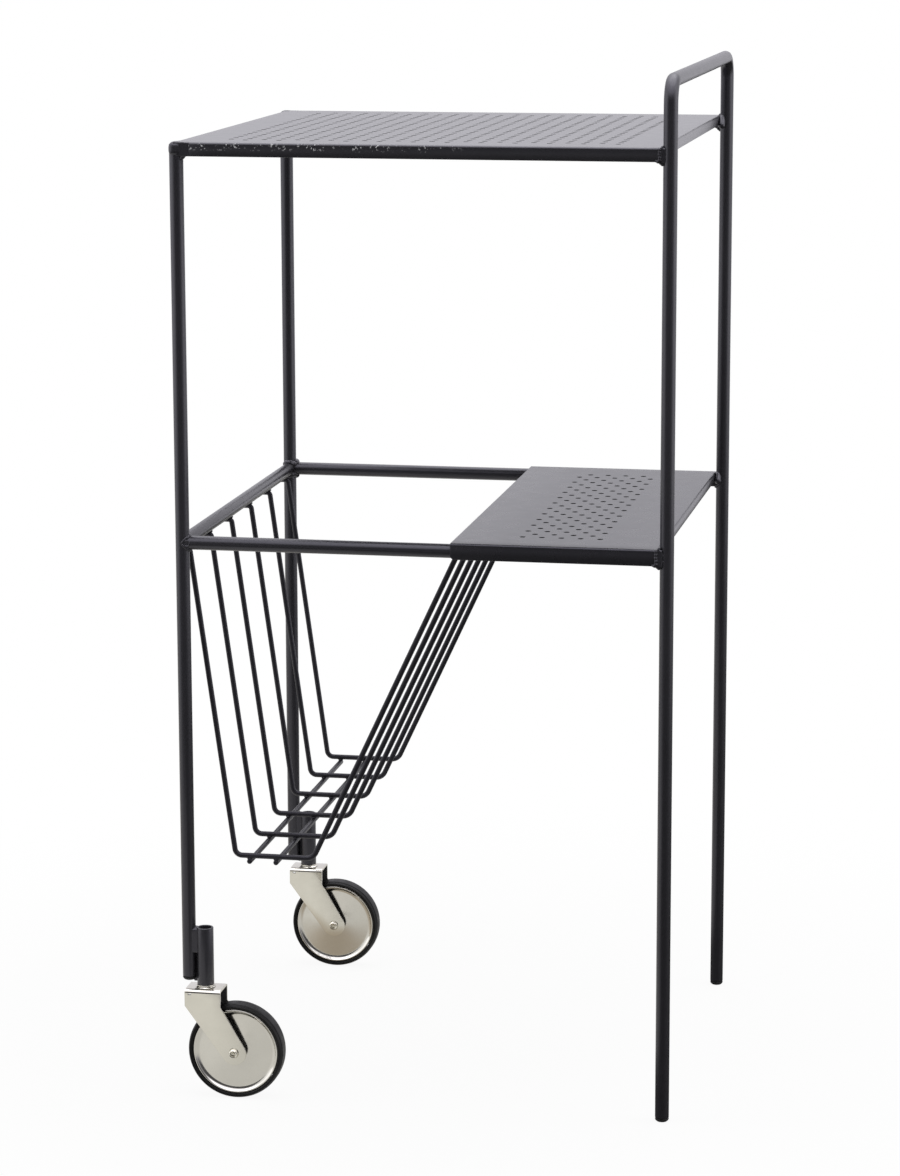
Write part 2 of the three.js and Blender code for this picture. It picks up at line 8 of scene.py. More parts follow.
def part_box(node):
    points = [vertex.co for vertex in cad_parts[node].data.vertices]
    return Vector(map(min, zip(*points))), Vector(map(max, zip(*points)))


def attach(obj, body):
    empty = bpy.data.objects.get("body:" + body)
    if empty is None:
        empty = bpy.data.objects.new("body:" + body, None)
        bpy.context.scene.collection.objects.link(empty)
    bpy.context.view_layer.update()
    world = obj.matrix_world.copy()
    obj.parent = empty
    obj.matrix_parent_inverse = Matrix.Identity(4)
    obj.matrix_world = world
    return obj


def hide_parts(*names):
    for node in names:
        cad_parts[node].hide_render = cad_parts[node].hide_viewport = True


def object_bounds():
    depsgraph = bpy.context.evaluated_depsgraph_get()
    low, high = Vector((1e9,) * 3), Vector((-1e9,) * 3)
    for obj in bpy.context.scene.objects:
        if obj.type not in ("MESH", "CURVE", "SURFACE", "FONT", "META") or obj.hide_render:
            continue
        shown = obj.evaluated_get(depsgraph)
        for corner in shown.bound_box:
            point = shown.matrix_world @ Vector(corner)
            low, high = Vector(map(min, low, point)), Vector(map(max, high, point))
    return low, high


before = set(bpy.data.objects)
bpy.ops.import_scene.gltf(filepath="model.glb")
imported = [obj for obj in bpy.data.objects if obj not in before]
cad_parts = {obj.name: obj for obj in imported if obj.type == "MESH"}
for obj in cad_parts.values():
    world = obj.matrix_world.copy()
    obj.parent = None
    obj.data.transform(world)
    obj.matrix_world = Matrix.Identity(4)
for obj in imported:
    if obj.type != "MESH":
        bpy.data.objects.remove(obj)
cad_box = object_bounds()

# The mobile file cart: black tube frame, perforated sheets, wire trough and two bright casters.
# Lengths are in metres, and MM turns millimetres into them.
MM = 0.001
UP = Vector((0, 0, 1))
DOWN = -UP
RIGHT = Vector((1, 0, 0))
REARWARD = Vector((0, 1, 0))
OUTWARD = -REARWARD

# A sheet's axes and their ends, as its folds name them
X = 0
Y = 1
LOW_END = -1
HIGH_END = 1

# How closely loose points are merged, and what counts as the same place
MERGE = 0.005 * MM
NEAR = 0.05 * MM

# How far a face's normal leans along an axis before the face counts as facing that way
FACING = 0.5

# Edges that are shaded smooth, and edges that are broken on the sheets
SMOOTH_ANGLE = math.radians(32)
SHARP_ANGLE = math.radians(60)

# Round counts
TUBE_SIDES = 40
WIRE_SIDES = 16
HOLE_SIDES = 12
TURNED_STEPS = 48
WHEEL_STEPS = 96
BEND_STEPS = 10


def middle(node):
    """The middle of a frame node's box."""
    low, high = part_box(node)
    return (low + high) / 2


def extent(node):
    """The size of a frame node's box."""
    low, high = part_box(node)
    return high - low


# Places read from the frame
TUBE_R = extent("front_left_post").x / 2
LEFT_X = middle("front_left_post").x
RIGHT_X = middle("handle_leg_tube").x
FRONT_Y = middle("front_left_post").y
REAR_Y = middle("rear_left_post").y
RAIL_Z = middle("front_rail").z
CROSS_X = middle("shelf_cross_rail").x
TOP_LOW, TOP_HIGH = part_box("top_tray")
SHELF_LOW, SHELF_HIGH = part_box("half_shelf")
SWIVEL = Vector((middle("front_caster_socket").x, FRONT_Y, 0))
AXLE = middle("front_tyre")
SOCKET_LOW, SOCKET_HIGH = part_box("front_caster_socket")
FORK_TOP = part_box("front_fork")[1].z
TO_REAR = Vector((0, REAR_Y - FRONT_Y, 0))
WIRE_STEP = middle("basket_wire_2") - middle("basket_wire_1")

# Frame details
HANDLE_BEND = 18 * MM
TUBE_END_ROUND = 0.4 * MM
FIT_GAP = 0.3 * MM
SHEET_T = 1.5 * MM
FOLD_R = 2 * MM
LIP_SETBACK = TUBE_R + 2.5 * MM
TOP_END_LIP = 11.4 * MM
TOP_SIDE_LIP = 8.5 * MM
SHELF_FRONT_LIP = 13.5 * MM
SHELF_SIDE_LIP = 7.3 * MM
SHELF_LIP_CORNER = 3.5 * MM
LIP_CORNER_GAP = 1 * MM
SHEET_EDGE_BREAK = 0.3 * MM
HOLE_R = 2.5 * MM
HOLE_PITCH = 16 * MM
ROW_PITCH = HOLE_PITCH * math.sin(math.pi / 3)
PERFORATED_ROWS = 24
TOP_ROW_HOLES = 22
SHELF_ROW_HOLES = 5

# Trough details
TROUGH_FLOOR_W = 66.4 * MM
TROUGH_FLOOR_INSET = 37.3 * MM
TROUGH_TOP_INSET = 1.6 * MM
TROUGH_LEFT_BEND = 6 * MM
TROUGH_RIGHT_BEND = 9 * MM
HOOK_BEND = 3 * MM
WIRE_R = 2.25 * MM
WIRE_COUNT = 6
WIRE_END_ROUND = 0.9 * MM
RUNNER_END_ROUND = 1.2 * MM

# How finely the lumps of a weld are fused
WELD_VOXEL = 0.4 * MM

# Caster details
FORK_T = 2 * MM
FORK_L = 31 * MM
FORK_CHEEK_H = 14.4 * MM
FORK_END_R = 10.5 * MM
FORK_FOLD_R = 3 * MM
FORK_SLOT_L = 3 * MM
FORK_SLOT_H = 1.2 * MM
FORK_SLOT_ASIDE = 11.1 * MM
FORK_SLOT_DROP = 4 * MM
SOCKET_WALL = 1.5 * MM
PIVOT_HOLE_R = extent("front_caster_socket").x / 2 - SOCKET_WALL
AXLE_R = 3 * MM
RIM_FACE = 7.2 * MM


# Modelling steps

def begin():
    """Clears the selection, so that the next operator acts on the new shape alone."""
    bpy.ops.object.select_all(action="DESELECT")


def take(piece):
    """Makes one piece the shape in hand."""
    begin()
    piece.select_set(True)
    bpy.context.view_layer.objects.active = piece


def edit():
    """Opens the shape in hand for editing by its vertices."""
    bpy.ops.object.mode_set(mode="EDIT")
    bpy.ops.mesh.select_mode(type="VERT")


def settle(name):
    """Names the shape and moves its place and turn into its mesh."""
    bpy.ops.object.transform_apply(location=True, rotation=True, scale=True)
    piece = bpy.context.object
    piece.name = name
    piece.data.name = name
    return piece


def close_up():
    """Merges doubles, turns the faces outwards and leaves edit mode."""
    bpy.ops.mesh.select_mode(type="VERT")
    bpy.ops.mesh.select_all(action="SELECT")
    bpy.ops.mesh.remove_doubles(threshold=MERGE)
    bpy.ops.mesh.normals_make_consistent(inside=False)
    bpy.ops.object.mode_set(mode="OBJECT")
    return bpy.context.object


def centre_of(edge):
    """The middle of a mesh's edge."""
    return (edge.verts[0].co + edge.verts[1].co) / 2


def pick(kind, test):
    """Selects the vertices, edges or faces of the shape in hand that pass the test."""
    bpy.ops.mesh.select_mode(type=kind)
    bpy.ops.mesh.select_all(action="DESELECT")
    mesh = bmesh.from_edit_mesh(bpy.context.object.data)
    items = {"VERT": mesh.verts, "EDGE": mesh.edges, "FACE": mesh.faces}[kind]
    for item in items:
        if test(item):
            item.select_set(True)
    bmesh.update_edit_mesh(bpy.context.object.data)


def extrude(step):
    bpy.ops.mesh.extrude_region_move(TRANSFORM_OT_translate={"value": tuple(step)})


def shift(step):
    bpy.ops.transform.translate(value=tuple(step))


def spin(angle, steps, centre, axis):
    """Spins the selection by the right-hand rule, which is against the operator's own sense."""
    bpy.ops.mesh.spin(steps=steps, angle=-angle, center=tuple(centre), axis=tuple(axis))


def apply_modifier(piece, kind, **settings):
    """Gives the piece a modifier and applies it at once."""
    bpy.context.view_layer.objects.active = piece
    modifier = piece.modifiers.new(kind.lower(), kind)
    for setting, value in settings.items():
        setattr(modifier, setting, value)
    bpy.ops.object.modifier_apply(modifier=modifier.name)


def soften(piece, width, segments=2, angle=40):
    """Breaks the sharp edges."""
    apply_modifier(piece, "BEVEL", width=width, segments=segments, limit_method="ANGLE",
                   angle_limit=math.radians(angle))


def repeat(piece, count, step):
    """Repeats the piece in a row, within its own mesh."""
    apply_modifier(piece, "ARRAY", count=count, use_relative_offset=False, use_constant_offset=True,
                   constant_offset_displace=tuple(step), use_merge_vertices=True, merge_threshold=MERGE)


def copy_of(piece, name, step):
    """A moved copy with a mesh of its own."""
    take(piece)
    bpy.ops.object.duplicate(linked=False)
    bpy.context.object.location = step
    return settle(name)


def join(pieces):
    """Makes one piece of several."""
    begin()
    for piece in pieces:
        piece.select_set(True)
    bpy.context.view_layer.objects.active = pieces[0]
    if len(pieces) > 1:
        bpy.ops.object.join()
    return bpy.context.object


def cut(piece, cutter):
    """Takes the cutter's shape out of the piece, and the cutter away."""
    apply_modifier(piece, "BOOLEAN", operation="DIFFERENCE", object=cutter, solver="EXACT")
    bpy.data.objects.remove(cutter)


def turn_towards(direction):
    """The turn that points a shape's own Z along the direction."""
    return direction.to_track_quat("Z", "Y").to_euler()


# Round bar, bent or straight

def bent_bar(name, corners, bends, radius, sides, rounding):
    """A circle extruded along the straight runs and spun round each bend, with rounded ends."""
    begin()
    heading = (corners[1] - corners[0]).normalized()
    bpy.ops.mesh.primitive_circle_add(vertices=sides, radius=radius, location=corners[0],
                                      rotation=turn_towards(heading))
    settle(name)
    edit()
    bpy.ops.mesh.select_all(action="SELECT")
    place = corners[0]
    for corner, after, bend in zip(corners[1:-1], corners[2:], bends):
        heading_after = (after - corner).normalized()
        turn = heading.angle(heading_after)
        setback = bend * math.tan(turn / 2)
        bend_start = corner - heading * setback
        hinge = heading.cross(heading_after).normalized()
        extrude(bend_start - place)
        spin(turn, BEND_STEPS, bend_start + hinge.cross(heading) * bend, hinge)
        heading = heading_after
        place = corner + heading * setback
    extrude(corners[-1] - place)
    bpy.ops.mesh.select_all(action="SELECT")
    bpy.ops.mesh.remove_doubles(threshold=MERGE)
    bpy.ops.mesh.fill_holes(sides=0)

    # The two end caps, which alone have more than four corners
    pick("FACE", lambda face: len(face.verts) > 4)
    bpy.ops.mesh.region_to_loop()
    bpy.ops.mesh.bevel(offset=rounding, segments=4, affect="EDGES")
    return close_up()


def turned(name, outline, foot, axis, steps):
    """A solid of revolution: one point extruded along the outline, then spun about the axis."""
    begin()
    points = [foot + RIGHT * radius + axis * along for radius, along in outline]
    bpy.ops.mesh.primitive_plane_add(size=MM, location=points[0])
    settle(name)
    edit()
    bpy.ops.mesh.select_all(action="SELECT")
    bpy.ops.mesh.merge(type="CENTER")
    for here, there in zip(points, points[1:]):
        bpy.ops.mesh.extrude_vertices_move(TRANSFORM_OT_translate={"value": tuple(there - here)})
    bpy.ops.mesh.select_all(action="SELECT")
    spin(2 * math.pi, steps, foot, axis)
    return close_up()


# Perforated sheets

def hole_cell():
    """One rectangle of sheet with a round hole in its middle."""
    begin()
    bpy.ops.mesh.primitive_plane_add(size=1)
    edit()
    bpy.ops.transform.resize(value=(HOLE_PITCH, ROW_PITCH, 1), center_override=(0, 0, 0))
    bpy.ops.mesh.subdivide(number_cuts=1)
    pick("VERT", lambda vertex: vertex.co.length < NEAR)
    bpy.ops.mesh.delete(type="VERT")
    bpy.ops.mesh.primitive_circle_add(vertices=HOLE_SIDES, radius=HOLE_R)
    bpy.ops.mesh.select_mode(type="EDGE")
    bpy.ops.mesh.select_all(action="SELECT")
    bpy.ops.mesh.bridge_edge_loops()
    bpy.ops.object.mode_set(mode="OBJECT")
    return settle("hole_cell")


def half_cell(x):
    """Plain sheet that squares off a short row."""
    begin()
    bpy.ops.mesh.primitive_plane_add(size=1, location=(x, ROW_PITCH, 0))
    bpy.context.object.scale = (HOLE_PITCH / 2, ROW_PITCH, 1)
    return settle("half_cell")


def perforated_field(name, row_holes, turn, centre):
    """Staggered rows of holes: each second row is one hole shorter and half a pitch in."""
    long_row = hole_cell()
    short_row = copy_of(long_row, "short_row", (HOLE_PITCH / 2, ROW_PITCH, 0))
    repeat(long_row, row_holes, (HOLE_PITCH, 0, 0))
    repeat(short_row, row_holes - 1, (HOLE_PITCH, 0, 0))
    quarter = HOLE_PITCH / 4
    ends = [half_cell(-quarter), half_cell((row_holes - 1) * HOLE_PITCH + quarter)]
    field = join([long_row, short_row, *ends])
    repeat(field, PERFORATED_ROWS // 2, (0, 2 * ROW_PITCH, 0))
    half_row = (row_holes - 1) * HOLE_PITCH / 2
    half_rows = (PERFORATED_ROWS - 1) * ROW_PITCH / 2
    field.location = (-half_row, -half_rows, 0)
    settle(name)
    field.rotation_euler = (0, 0, turn)
    field.location = centre
    return settle(name)


def open_border(axis, side):
    """Selects the open edges at one end of the sheet and says where they lie."""
    mesh = bmesh.from_edit_mesh(bpy.context.object.data)
    reach = max(side * vertex.co[axis] for vertex in mesh.verts)
    pick("EDGE", lambda edge: edge.is_boundary
         and all(abs(side * vertex.co[axis] - reach) < NEAR for vertex in edge.verts))
    return side * reach


def widen(axis, side, lines):
    """Extends the sheet past each line in turn, so that it can fold or end there."""
    for line in lines:
        step = Vector()
        step[axis] = line - open_border(axis, side)
        extrude(step)


def fold_down(axis, side, span, drop):
    """Bends the border's edges within the span down into a lip, and runs the others out flat."""
    across = 1 - axis
    line = open_border(axis, side)
    top = max(vertex.co.z for vertex in bmesh.from_edit_mesh(bpy.context.object.data).verts)

    def on_line(edge):
        return edge.is_boundary and all(abs(v.co[axis] - line) < NEAR for v in edge.verts)

    def in_span(edge):
        return span[0] < centre_of(edge)[across] < span[1]

    run_out = Vector()
    run_out[axis] = side * FOLD_R
    pick("EDGE", lambda edge: on_line(edge) and not in_span(edge))
    if any(edge.select for edge in bmesh.from_edit_mesh(bpy.context.object.data).edges):
        extrude(run_out)
    pick("EDGE", lambda edge: on_line(edge) and in_span(edge))
    hinge = Vector((0, 0, top - FOLD_R))
    hinge[axis] = line
    outward = Vector()
    outward[axis] = side
    spin(math.pi / 2, BEND_STEPS // 2, hinge, UP.cross(outward))
    extrude(DOWN * (drop - FOLD_R))


def thicken(piece, field_low, field_high):
    """Gives the folded sheet its thickness below its face, and breaks its outer edges."""
    close_up()

    # The first face lies among the holes, where the sheet has to face up
    if piece.data.polygons[0].normal.z < 0:
        edit()
        bpy.ops.mesh.select_all(action="SELECT")
        bpy.ops.mesh.flip_normals()
        bpy.ops.object.mode_set(mode="OBJECT")
    apply_modifier(piece, "SOLIDIFY", thickness=SHEET_T, offset=-1, use_even_offset=True)
    edit()

    def in_field(edge):
        place = centre_of(edge)
        return field_low.x < place.x < field_high.x and field_low.y < place.y < field_high.y

    def sharp(edge):
        return len(edge.link_faces) == 2 and edge.calc_face_angle() > SHARP_ANGLE

    pick("EDGE", lambda edge: sharp(edge) and not in_field(edge))
    bpy.ops.mesh.bevel(offset=SHEET_EDGE_BREAK, segments=2, affect="EDGES")
    bpy.ops.object.mode_set(mode="OBJECT")
    return piece


def field_box(centre, row_holes, quarter_turned):
    """The lowest and highest corners of a field of holes."""
    half = Vector((row_holes * HOLE_PITCH / 2, PERFORATED_ROWS * ROW_PITCH / 2, 0))
    if quarter_turned:
        half = Vector((half.y, half.x, 0))
    return centre - half, centre + half


def top_sheet():
    """The cart's top: lips at the front and rear ends and along both sides, open at the corners."""
    centre = Vector(((TOP_LOW.x + TOP_HIGH.x) / 2, 0, TOP_HIGH.z))
    piece = perforated_field("top_sheet", TOP_ROW_HOLES, math.pi / 2, centre)
    lip_left = LEFT_X + LIP_SETBACK
    lip_right = RIGHT_X - LIP_SETBACK
    left_lip_end = REAR_Y - LIP_SETBACK
    right_lip_end = TOP_HIGH.y - SHEET_T - LIP_CORNER_GAP
    edit()
    widen(X, LOW_END, [lip_left, TOP_LOW.x + FOLD_R])
    widen(X, HIGH_END, [lip_right, TOP_HIGH.x - FOLD_R])
    widen(Y, LOW_END, [-left_lip_end, -right_lip_end, TOP_LOW.y + FOLD_R])
    widen(Y, HIGH_END, [left_lip_end, right_lip_end, TOP_HIGH.y - FOLD_R])
    fold_down(Y, LOW_END, (lip_left, lip_right), TOP_END_LIP)
    fold_down(Y, HIGH_END, (lip_left, lip_right), TOP_END_LIP)
    fold_down(X, LOW_END, (-left_lip_end, left_lip_end), TOP_SIDE_LIP)
    fold_down(X, HIGH_END, (-right_lip_end, right_lip_end), TOP_SIDE_LIP)
    return thicken(piece, *field_box(centre, TOP_ROW_HOLES, quarter_turned=True))


def shelf_sheet():
    """The half shelf: a deep lip in front with a rounded corner, a side lip on the right."""
    centre = (SHELF_LOW + SHELF_HIGH) / 2
    centre.z = SHELF_HIGH.z
    piece = perforated_field("shelf_sheet", SHELF_ROW_HOLES, 0, centre)
    lip_right = RIGHT_X - LIP_SETBACK
    side_lip_end = REAR_Y - TUBE_R - FIT_GAP
    edit()
    widen(X, LOW_END, [SHELF_LOW.x])
    widen(X, HIGH_END, [lip_right, SHELF_HIGH.x - FOLD_R])
    widen(Y, LOW_END, [-side_lip_end, SHELF_LOW.y + FOLD_R])
    widen(Y, HIGH_END, [side_lip_end, SHELF_HIGH.y])
    fold_down(Y, LOW_END, (SHELF_LOW.x, lip_right), SHELF_FRONT_LIP)
    fold_down(X, HIGH_END, (-side_lip_end, side_lip_end), SHELF_SIDE_LIP)
    lip_foot = SHELF_HIGH.z - SHELF_FRONT_LIP
    pick("VERT", lambda vertex: vertex.co.z < lip_foot + NEAR and vertex.co.x < SHELF_LOW.x + NEAR)
    bpy.ops.mesh.bevel(offset=SHELF_LIP_CORNER, segments=5, affect="VERTICES")
    return thicken(piece, *field_box(centre, SHELF_ROW_HOLES, quarter_turned=False))


# Tube frame

def left_post(name, node):
    """A straight upright from just above its caster to the top."""
    low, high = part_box(node)
    axis = middle(node)
    ends = [Vector((axis.x, axis.y, z)) for z in (low.z, high.z)]
    return bent_bar(name, ends, [], TUBE_R, TUBE_SIDES, TUBE_END_ROUND)


def handle_and_legs():
    """One tube bent twice: front leg, handle bar and rear leg."""
    low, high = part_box("handle_leg_tube")
    bar_z = high.z - TUBE_R
    corners = [
        Vector((RIGHT_X, FRONT_Y, low.z)),
        Vector((RIGHT_X, FRONT_Y, bar_z)),
        Vector((RIGHT_X, REAR_Y, bar_z)),
        Vector((RIGHT_X, REAR_Y, low.z)),
    ]
    return bent_bar("handle_and_legs", corners, [HANDLE_BEND] * 2, TUBE_R, TUBE_SIDES, TUBE_END_ROUND)


def rail(name, start, end):
    """A tube that ends inside the tubes that it is welded to."""
    inset = (end - start).normalized() * TUBE_R / 2
    return bent_bar(name, [start + inset, end - inset], [], TUBE_R, TUBE_SIDES, TUBE_END_ROUND)


def tube_foot(name, node):
    """The moulded plug that closes a tube's lower end."""
    low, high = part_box(node)
    axis = middle(node)
    height = high.z - low.z
    head = 3 * MM
    chamfer = 1.6 * MM
    shank = TUBE_R - 1.5 * MM
    outline = [
        (0, 0),
        (TUBE_R - chamfer, 0),
        (TUBE_R, chamfer),
        (TUBE_R, head),
        (shank, head),
        (shank, height),
        (0, height),
    ]
    piece = turned(name, outline, Vector((axis.x, axis.y, low.z)), UP, TUBE_SIDES)
    soften(piece, width=0.7 * MM, segments=3, angle=30)
    return piece


# Wire trough

def right_climb(node):
    """Where a wire's right side starts, the cross rail's axis above it, and the way up to it."""
    y = middle(node).y
    foot = Vector((LEFT_X + TROUGH_FLOOR_INSET + TROUGH_FLOOR_W, y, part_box(node)[0].z + WIRE_R))
    rail_axis = Vector((CROSS_X, y, RAIL_Z))
    return foot, rail_axis, (rail_axis - foot).normalized()


def trough_wire(name, node):
    """One bent wire: a hook under the left rail, down, across the floor and up to the cross rail."""
    foot_right, rail_axis, climb = right_climb(node)
    y = foot_right.y
    hook_z = RAIL_Z - TUBE_R - FIT_GAP - WIRE_R
    corners = [
        Vector((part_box(node)[0].x, y, hook_z)),
        Vector((LEFT_X + TROUGH_TOP_INSET, y, hook_z)),
        Vector((LEFT_X + TROUGH_FLOOR_INSET, y, foot_right.z)),
        foot_right,
        rail_axis - climb * TUBE_R,
    ]
    bends = [HOOK_BEND, TROUGH_LEFT_BEND, TROUGH_RIGHT_BEND]
    return bent_bar(name, corners, bends, WIRE_R, WIRE_SIDES, WIRE_END_ROUND)


def trough_runner(name, node):
    """A long straight wire under the trough's floor."""
    low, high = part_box(node)
    axis = middle(node)
    ends = [Vector((axis.x, y, axis.z)) for y in (low.y, high.y)]
    return bent_bar(name, ends, [], WIRE_R, WIRE_SIDES, RUNNER_END_ROUND)


# Weld beads: lumps fused into one rounded body

def lump_ball(centre, radius, stretch=(1, 1, 1)):
    begin()
    bpy.ops.mesh.primitive_uv_sphere_add(segments=16, ring_count=8, radius=radius, location=centre)
    bpy.context.object.scale = stretch
    return settle("lump")


def lump_block(centre, size, rounding):
    begin()
    bpy.ops.mesh.primitive_cube_add(size=1, location=centre)
    bpy.context.object.scale = size
    block = settle("lump")
    edit()
    bpy.ops.mesh.select_all(action="SELECT")
    bpy.ops.mesh.bevel(offset=rounding, segments=4, affect="EDGES")
    bpy.ops.object.mode_set(mode="OBJECT")
    return block


def fused(name, lumps, smoothing=5):
    """Joins the lumps under one skin and smooths it."""
    piece = join(lumps)
    piece.name = name
    piece.data.name = name
    apply_modifier(piece, "REMESH", mode="VOXEL", voxel_size=WELD_VOXEL)
    apply_modifier(piece, "SMOOTH", factor=0.5, iterations=smoothing)
    return piece


def within_sides(place, radius):
    """Keeps a lump from standing proud of the cart's left and right sides."""
    x = min(max(place.x, cad_box[0].x + radius), cad_box[1].x - radius)
    return Vector((x, place.y, place.z))


def saddle(joint, heading, axis, thick):
    """Lumps round a rail's end on a tube of its own size: thick in the crotches, thin at the sides."""
    side = heading.cross(axis)
    thin = 0.4
    ripple = 0.1
    ripple_turn = 2.4
    count = 28
    lumps = []
    for i in range(count):
        turn = 2 * math.pi * i / count
        crotch = abs(math.cos(turn))
        radius = thick * (1 + ripple * math.sin(ripple_turn * i)) * (thin + (1 - thin) * crotch)
        rim = axis * math.cos(turn) + side * math.sin(turn) + heading * crotch
        lumps.append(lump_ball(within_sides(joint + rim * TUBE_R, radius), radius))
    return lumps


def rail_weld(name, joint, headings, thick, axis=UP):
    """The beads where rails meet a tube that runs along the axis."""
    lumps = []
    for heading in headings:
        lumps += saddle(joint, heading, axis, thick)
    return fused(name, lumps)


def weld_end_ring(name, centre):
    """The round crater that a finished weld leaves on the front of a joint."""
    ring_r = 2.5 * MM
    bead_r = 0.9 * MM
    floor_r = 2.4 * MM
    floor_depth = 1.2 * MM
    count = 14
    lumps = [lump_ball(centre + REARWARD * floor_depth, floor_r, stretch=(1, 0.6, 1))]
    for i in range(count):
        turn = 2 * math.pi * i / count
        rim = Vector((math.cos(turn), 0, math.sin(turn))) * ring_r
        lumps.append(lump_ball(centre + rim, bead_r))
    return fused(name, lumps, smoothing=3)


def post_knob(name, post_y, outward):
    """The rounded lump that closes a left post under the top's corner and runs into both lips."""
    foot = TOP_HIGH.z - TOP_END_LIP
    knob_size = Vector((12, 13, 12)) * MM
    knob_shift = 0.4 * MM
    knob_depth = 5.6 * MM
    run_l = 12 * MM
    run_t = 4.7 * MM
    run_along = 6.5 * MM
    run_behind = 2.2 * MM
    run_edge = 0.9 * MM

    def by_end_lip(along, behind, z):
        return Vector((LEFT_X + along, post_y + outward * (TUBE_R - behind), z))

    centre = Vector((LEFT_X + knob_shift, post_y + outward * knob_shift, TOP_HIGH.z - knob_depth))
    end_run = by_end_lip(run_along, run_behind, foot + TOP_END_LIP / 2)
    side_run = Vector((TOP_LOW.x + run_behind, post_y - outward * run_along, TOP_HIGH.z - TOP_SIDE_LIP / 2))
    lumps = [
        lump_block(centre, knob_size, rounding=4.4 * MM),
        lump_block(end_run, Vector((run_l, run_t, TOP_END_LIP)), run_edge),
        lump_block(side_run, Vector((run_t, run_l, TOP_SIDE_LIP)), run_edge),
    ]

    # Drops in the crotch: along the lip, behind its face, above its foot, and radius, in millimetres
    drops = ((7.4, 2.4, 1.0, 2.1), (6.2, 2.6, -0.4, 2.1), (5.0, 2.8, -1.9, 1.8))
    for along, behind, above, radius in drops:
        lumps.append(lump_ball(by_end_lip(along * MM, behind * MM, foot + above * MM), radius * MM))
    return fused(name, lumps, smoothing=8)


def leg_weld(name, outward, top, lip_y, lip_height):
    """The weld from a lip's end to a handle leg: an upright bead, a sunk throat and a hanging tip."""
    end_x = RIGHT_X - LIP_SETBACK
    foot = top - lip_height
    bead_y = lip_y - outward * 0.2 * MM
    bead_r = 1.5 * MM
    beads = 5
    ripple = 0.15 * MM
    ripple_turn = 2.1
    throat_y = lip_y - outward * 3 * MM
    throat_size = Vector((6 * MM, 3.6 * MM, lip_height + MM))
    throat = Vector((end_x + 2.4 * MM, throat_y, (top + foot) / 2 - MM))
    lumps = [lump_block(throat, throat_size, rounding=0.9 * MM)]
    for i in range(beads):
        z = foot + bead_r + (lip_height - 2 * bead_r) * i / (beads - 1)
        lumps.append(lump_ball(Vector((end_x + ripple * math.sin(ripple_turn * i), bead_y, z)), bead_r))

    # The tip: millimetres right of the lip's end, place in depth, millimetres above the foot, and radius
    tip = (
        (-2.6, bead_y, 0.7, 1.1),
        (-0.9, bead_y, 0.2, 1.4),
        (0.8, throat_y, -0.6, 1.7),
        (2.3, throat_y, -1.8, 1.7),
    )
    for right, y, above, radius in tip:
        lumps.append(lump_ball(Vector((end_x + right * MM, y, foot + above * MM)), radius * MM))
    lumps.append(lump_ball(Vector((end_x + 2.3 * MM, throat_y, top)), bead_r))
    return fused(name, lumps, smoothing=4)


def sheet_corner_weld(name, leg_y, outward, top, height):
    """The slanting lump that holds a sheet's right edge to the inner side of a handle leg."""
    lump_r = 3.2 * MM
    past_edge = 2.6 * MM
    into_tube = 2.5 * MM
    below_face = 2.2 * MM
    steps = 6
    lumps = []
    for i in range(steps):
        slant = height * i / (steps - 1)
        inward = TUBE_R - into_tube + slant
        place = Vector((TOP_HIGH.x + past_edge, leg_y - outward * inward, top - below_face - slant))
        lumps.append(lump_ball(place, lump_r))
    return fused(name, lumps)


def wire_spots(name, lumps):
    """Weld spots made at the first wire and repeated at the others."""
    piece = fused(name, lumps, smoothing=2)
    repeat(piece, WIRE_COUNT, WIRE_STEP)
    return piece


def runner_spots(name, runner):
    """The spots that hold a runner under the trough's floor wires."""
    first_wire = middle("basket_wire_1")
    place = Vector((middle(runner).x, first_wire.y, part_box("basket_wire_1")[0].z - FIT_GAP / 2))
    return wire_spots(name, [lump_ball(place, radius=1.9 * MM, stretch=(1.25, 1.25, 0.8))])


def hook_spots(name):
    """The spots that hold the wires' hooks under the left rail."""
    place = Vector((LEFT_X - 0.5 * MM, middle("basket_wire_1").y, RAIL_Z - TUBE_R - FIT_GAP))
    lumps = [
        lump_ball(place - RIGHT * 1.2 * MM, radius=1.9 * MM, stretch=(1.4, 1.1, 0.8)),
        lump_ball(place + RIGHT * 1.6 * MM, radius=1.7 * MM, stretch=(1.2, 1.2, 0.8)),
    ]
    return wire_spots(name, lumps)


def wire_end_spots(name):
    """The spots that hold the wires' upper ends against the shelf's cross rail."""
    rail_axis, climb = right_climb("basket_wire_1")[1:]
    place = rail_axis - climb * (TUBE_R + 0.4 * MM)
    return wire_spots(name, [lump_ball(place, radius=3.1 * MM, stretch=(1, 1, 0.85))])


# The two casters, modelled at the front and copied to the rear

def caster_socket():
    radius = extent("front_caster_socket").x / 2
    length = SOCKET_HIGH.z - SOCKET_LOW.z
    outline = [(PIVOT_HOLE_R, 0), (radius, 0), (radius, length), (PIVOT_HOLE_R, length), (PIVOT_HOLE_R, 0)]
    piece = turned("front_socket_tube", outline, SWIVEL + UP * SOCKET_LOW.z, UP, TURNED_STEPS)
    soften(piece, width=0.45 * MM, segments=3)
    return piece


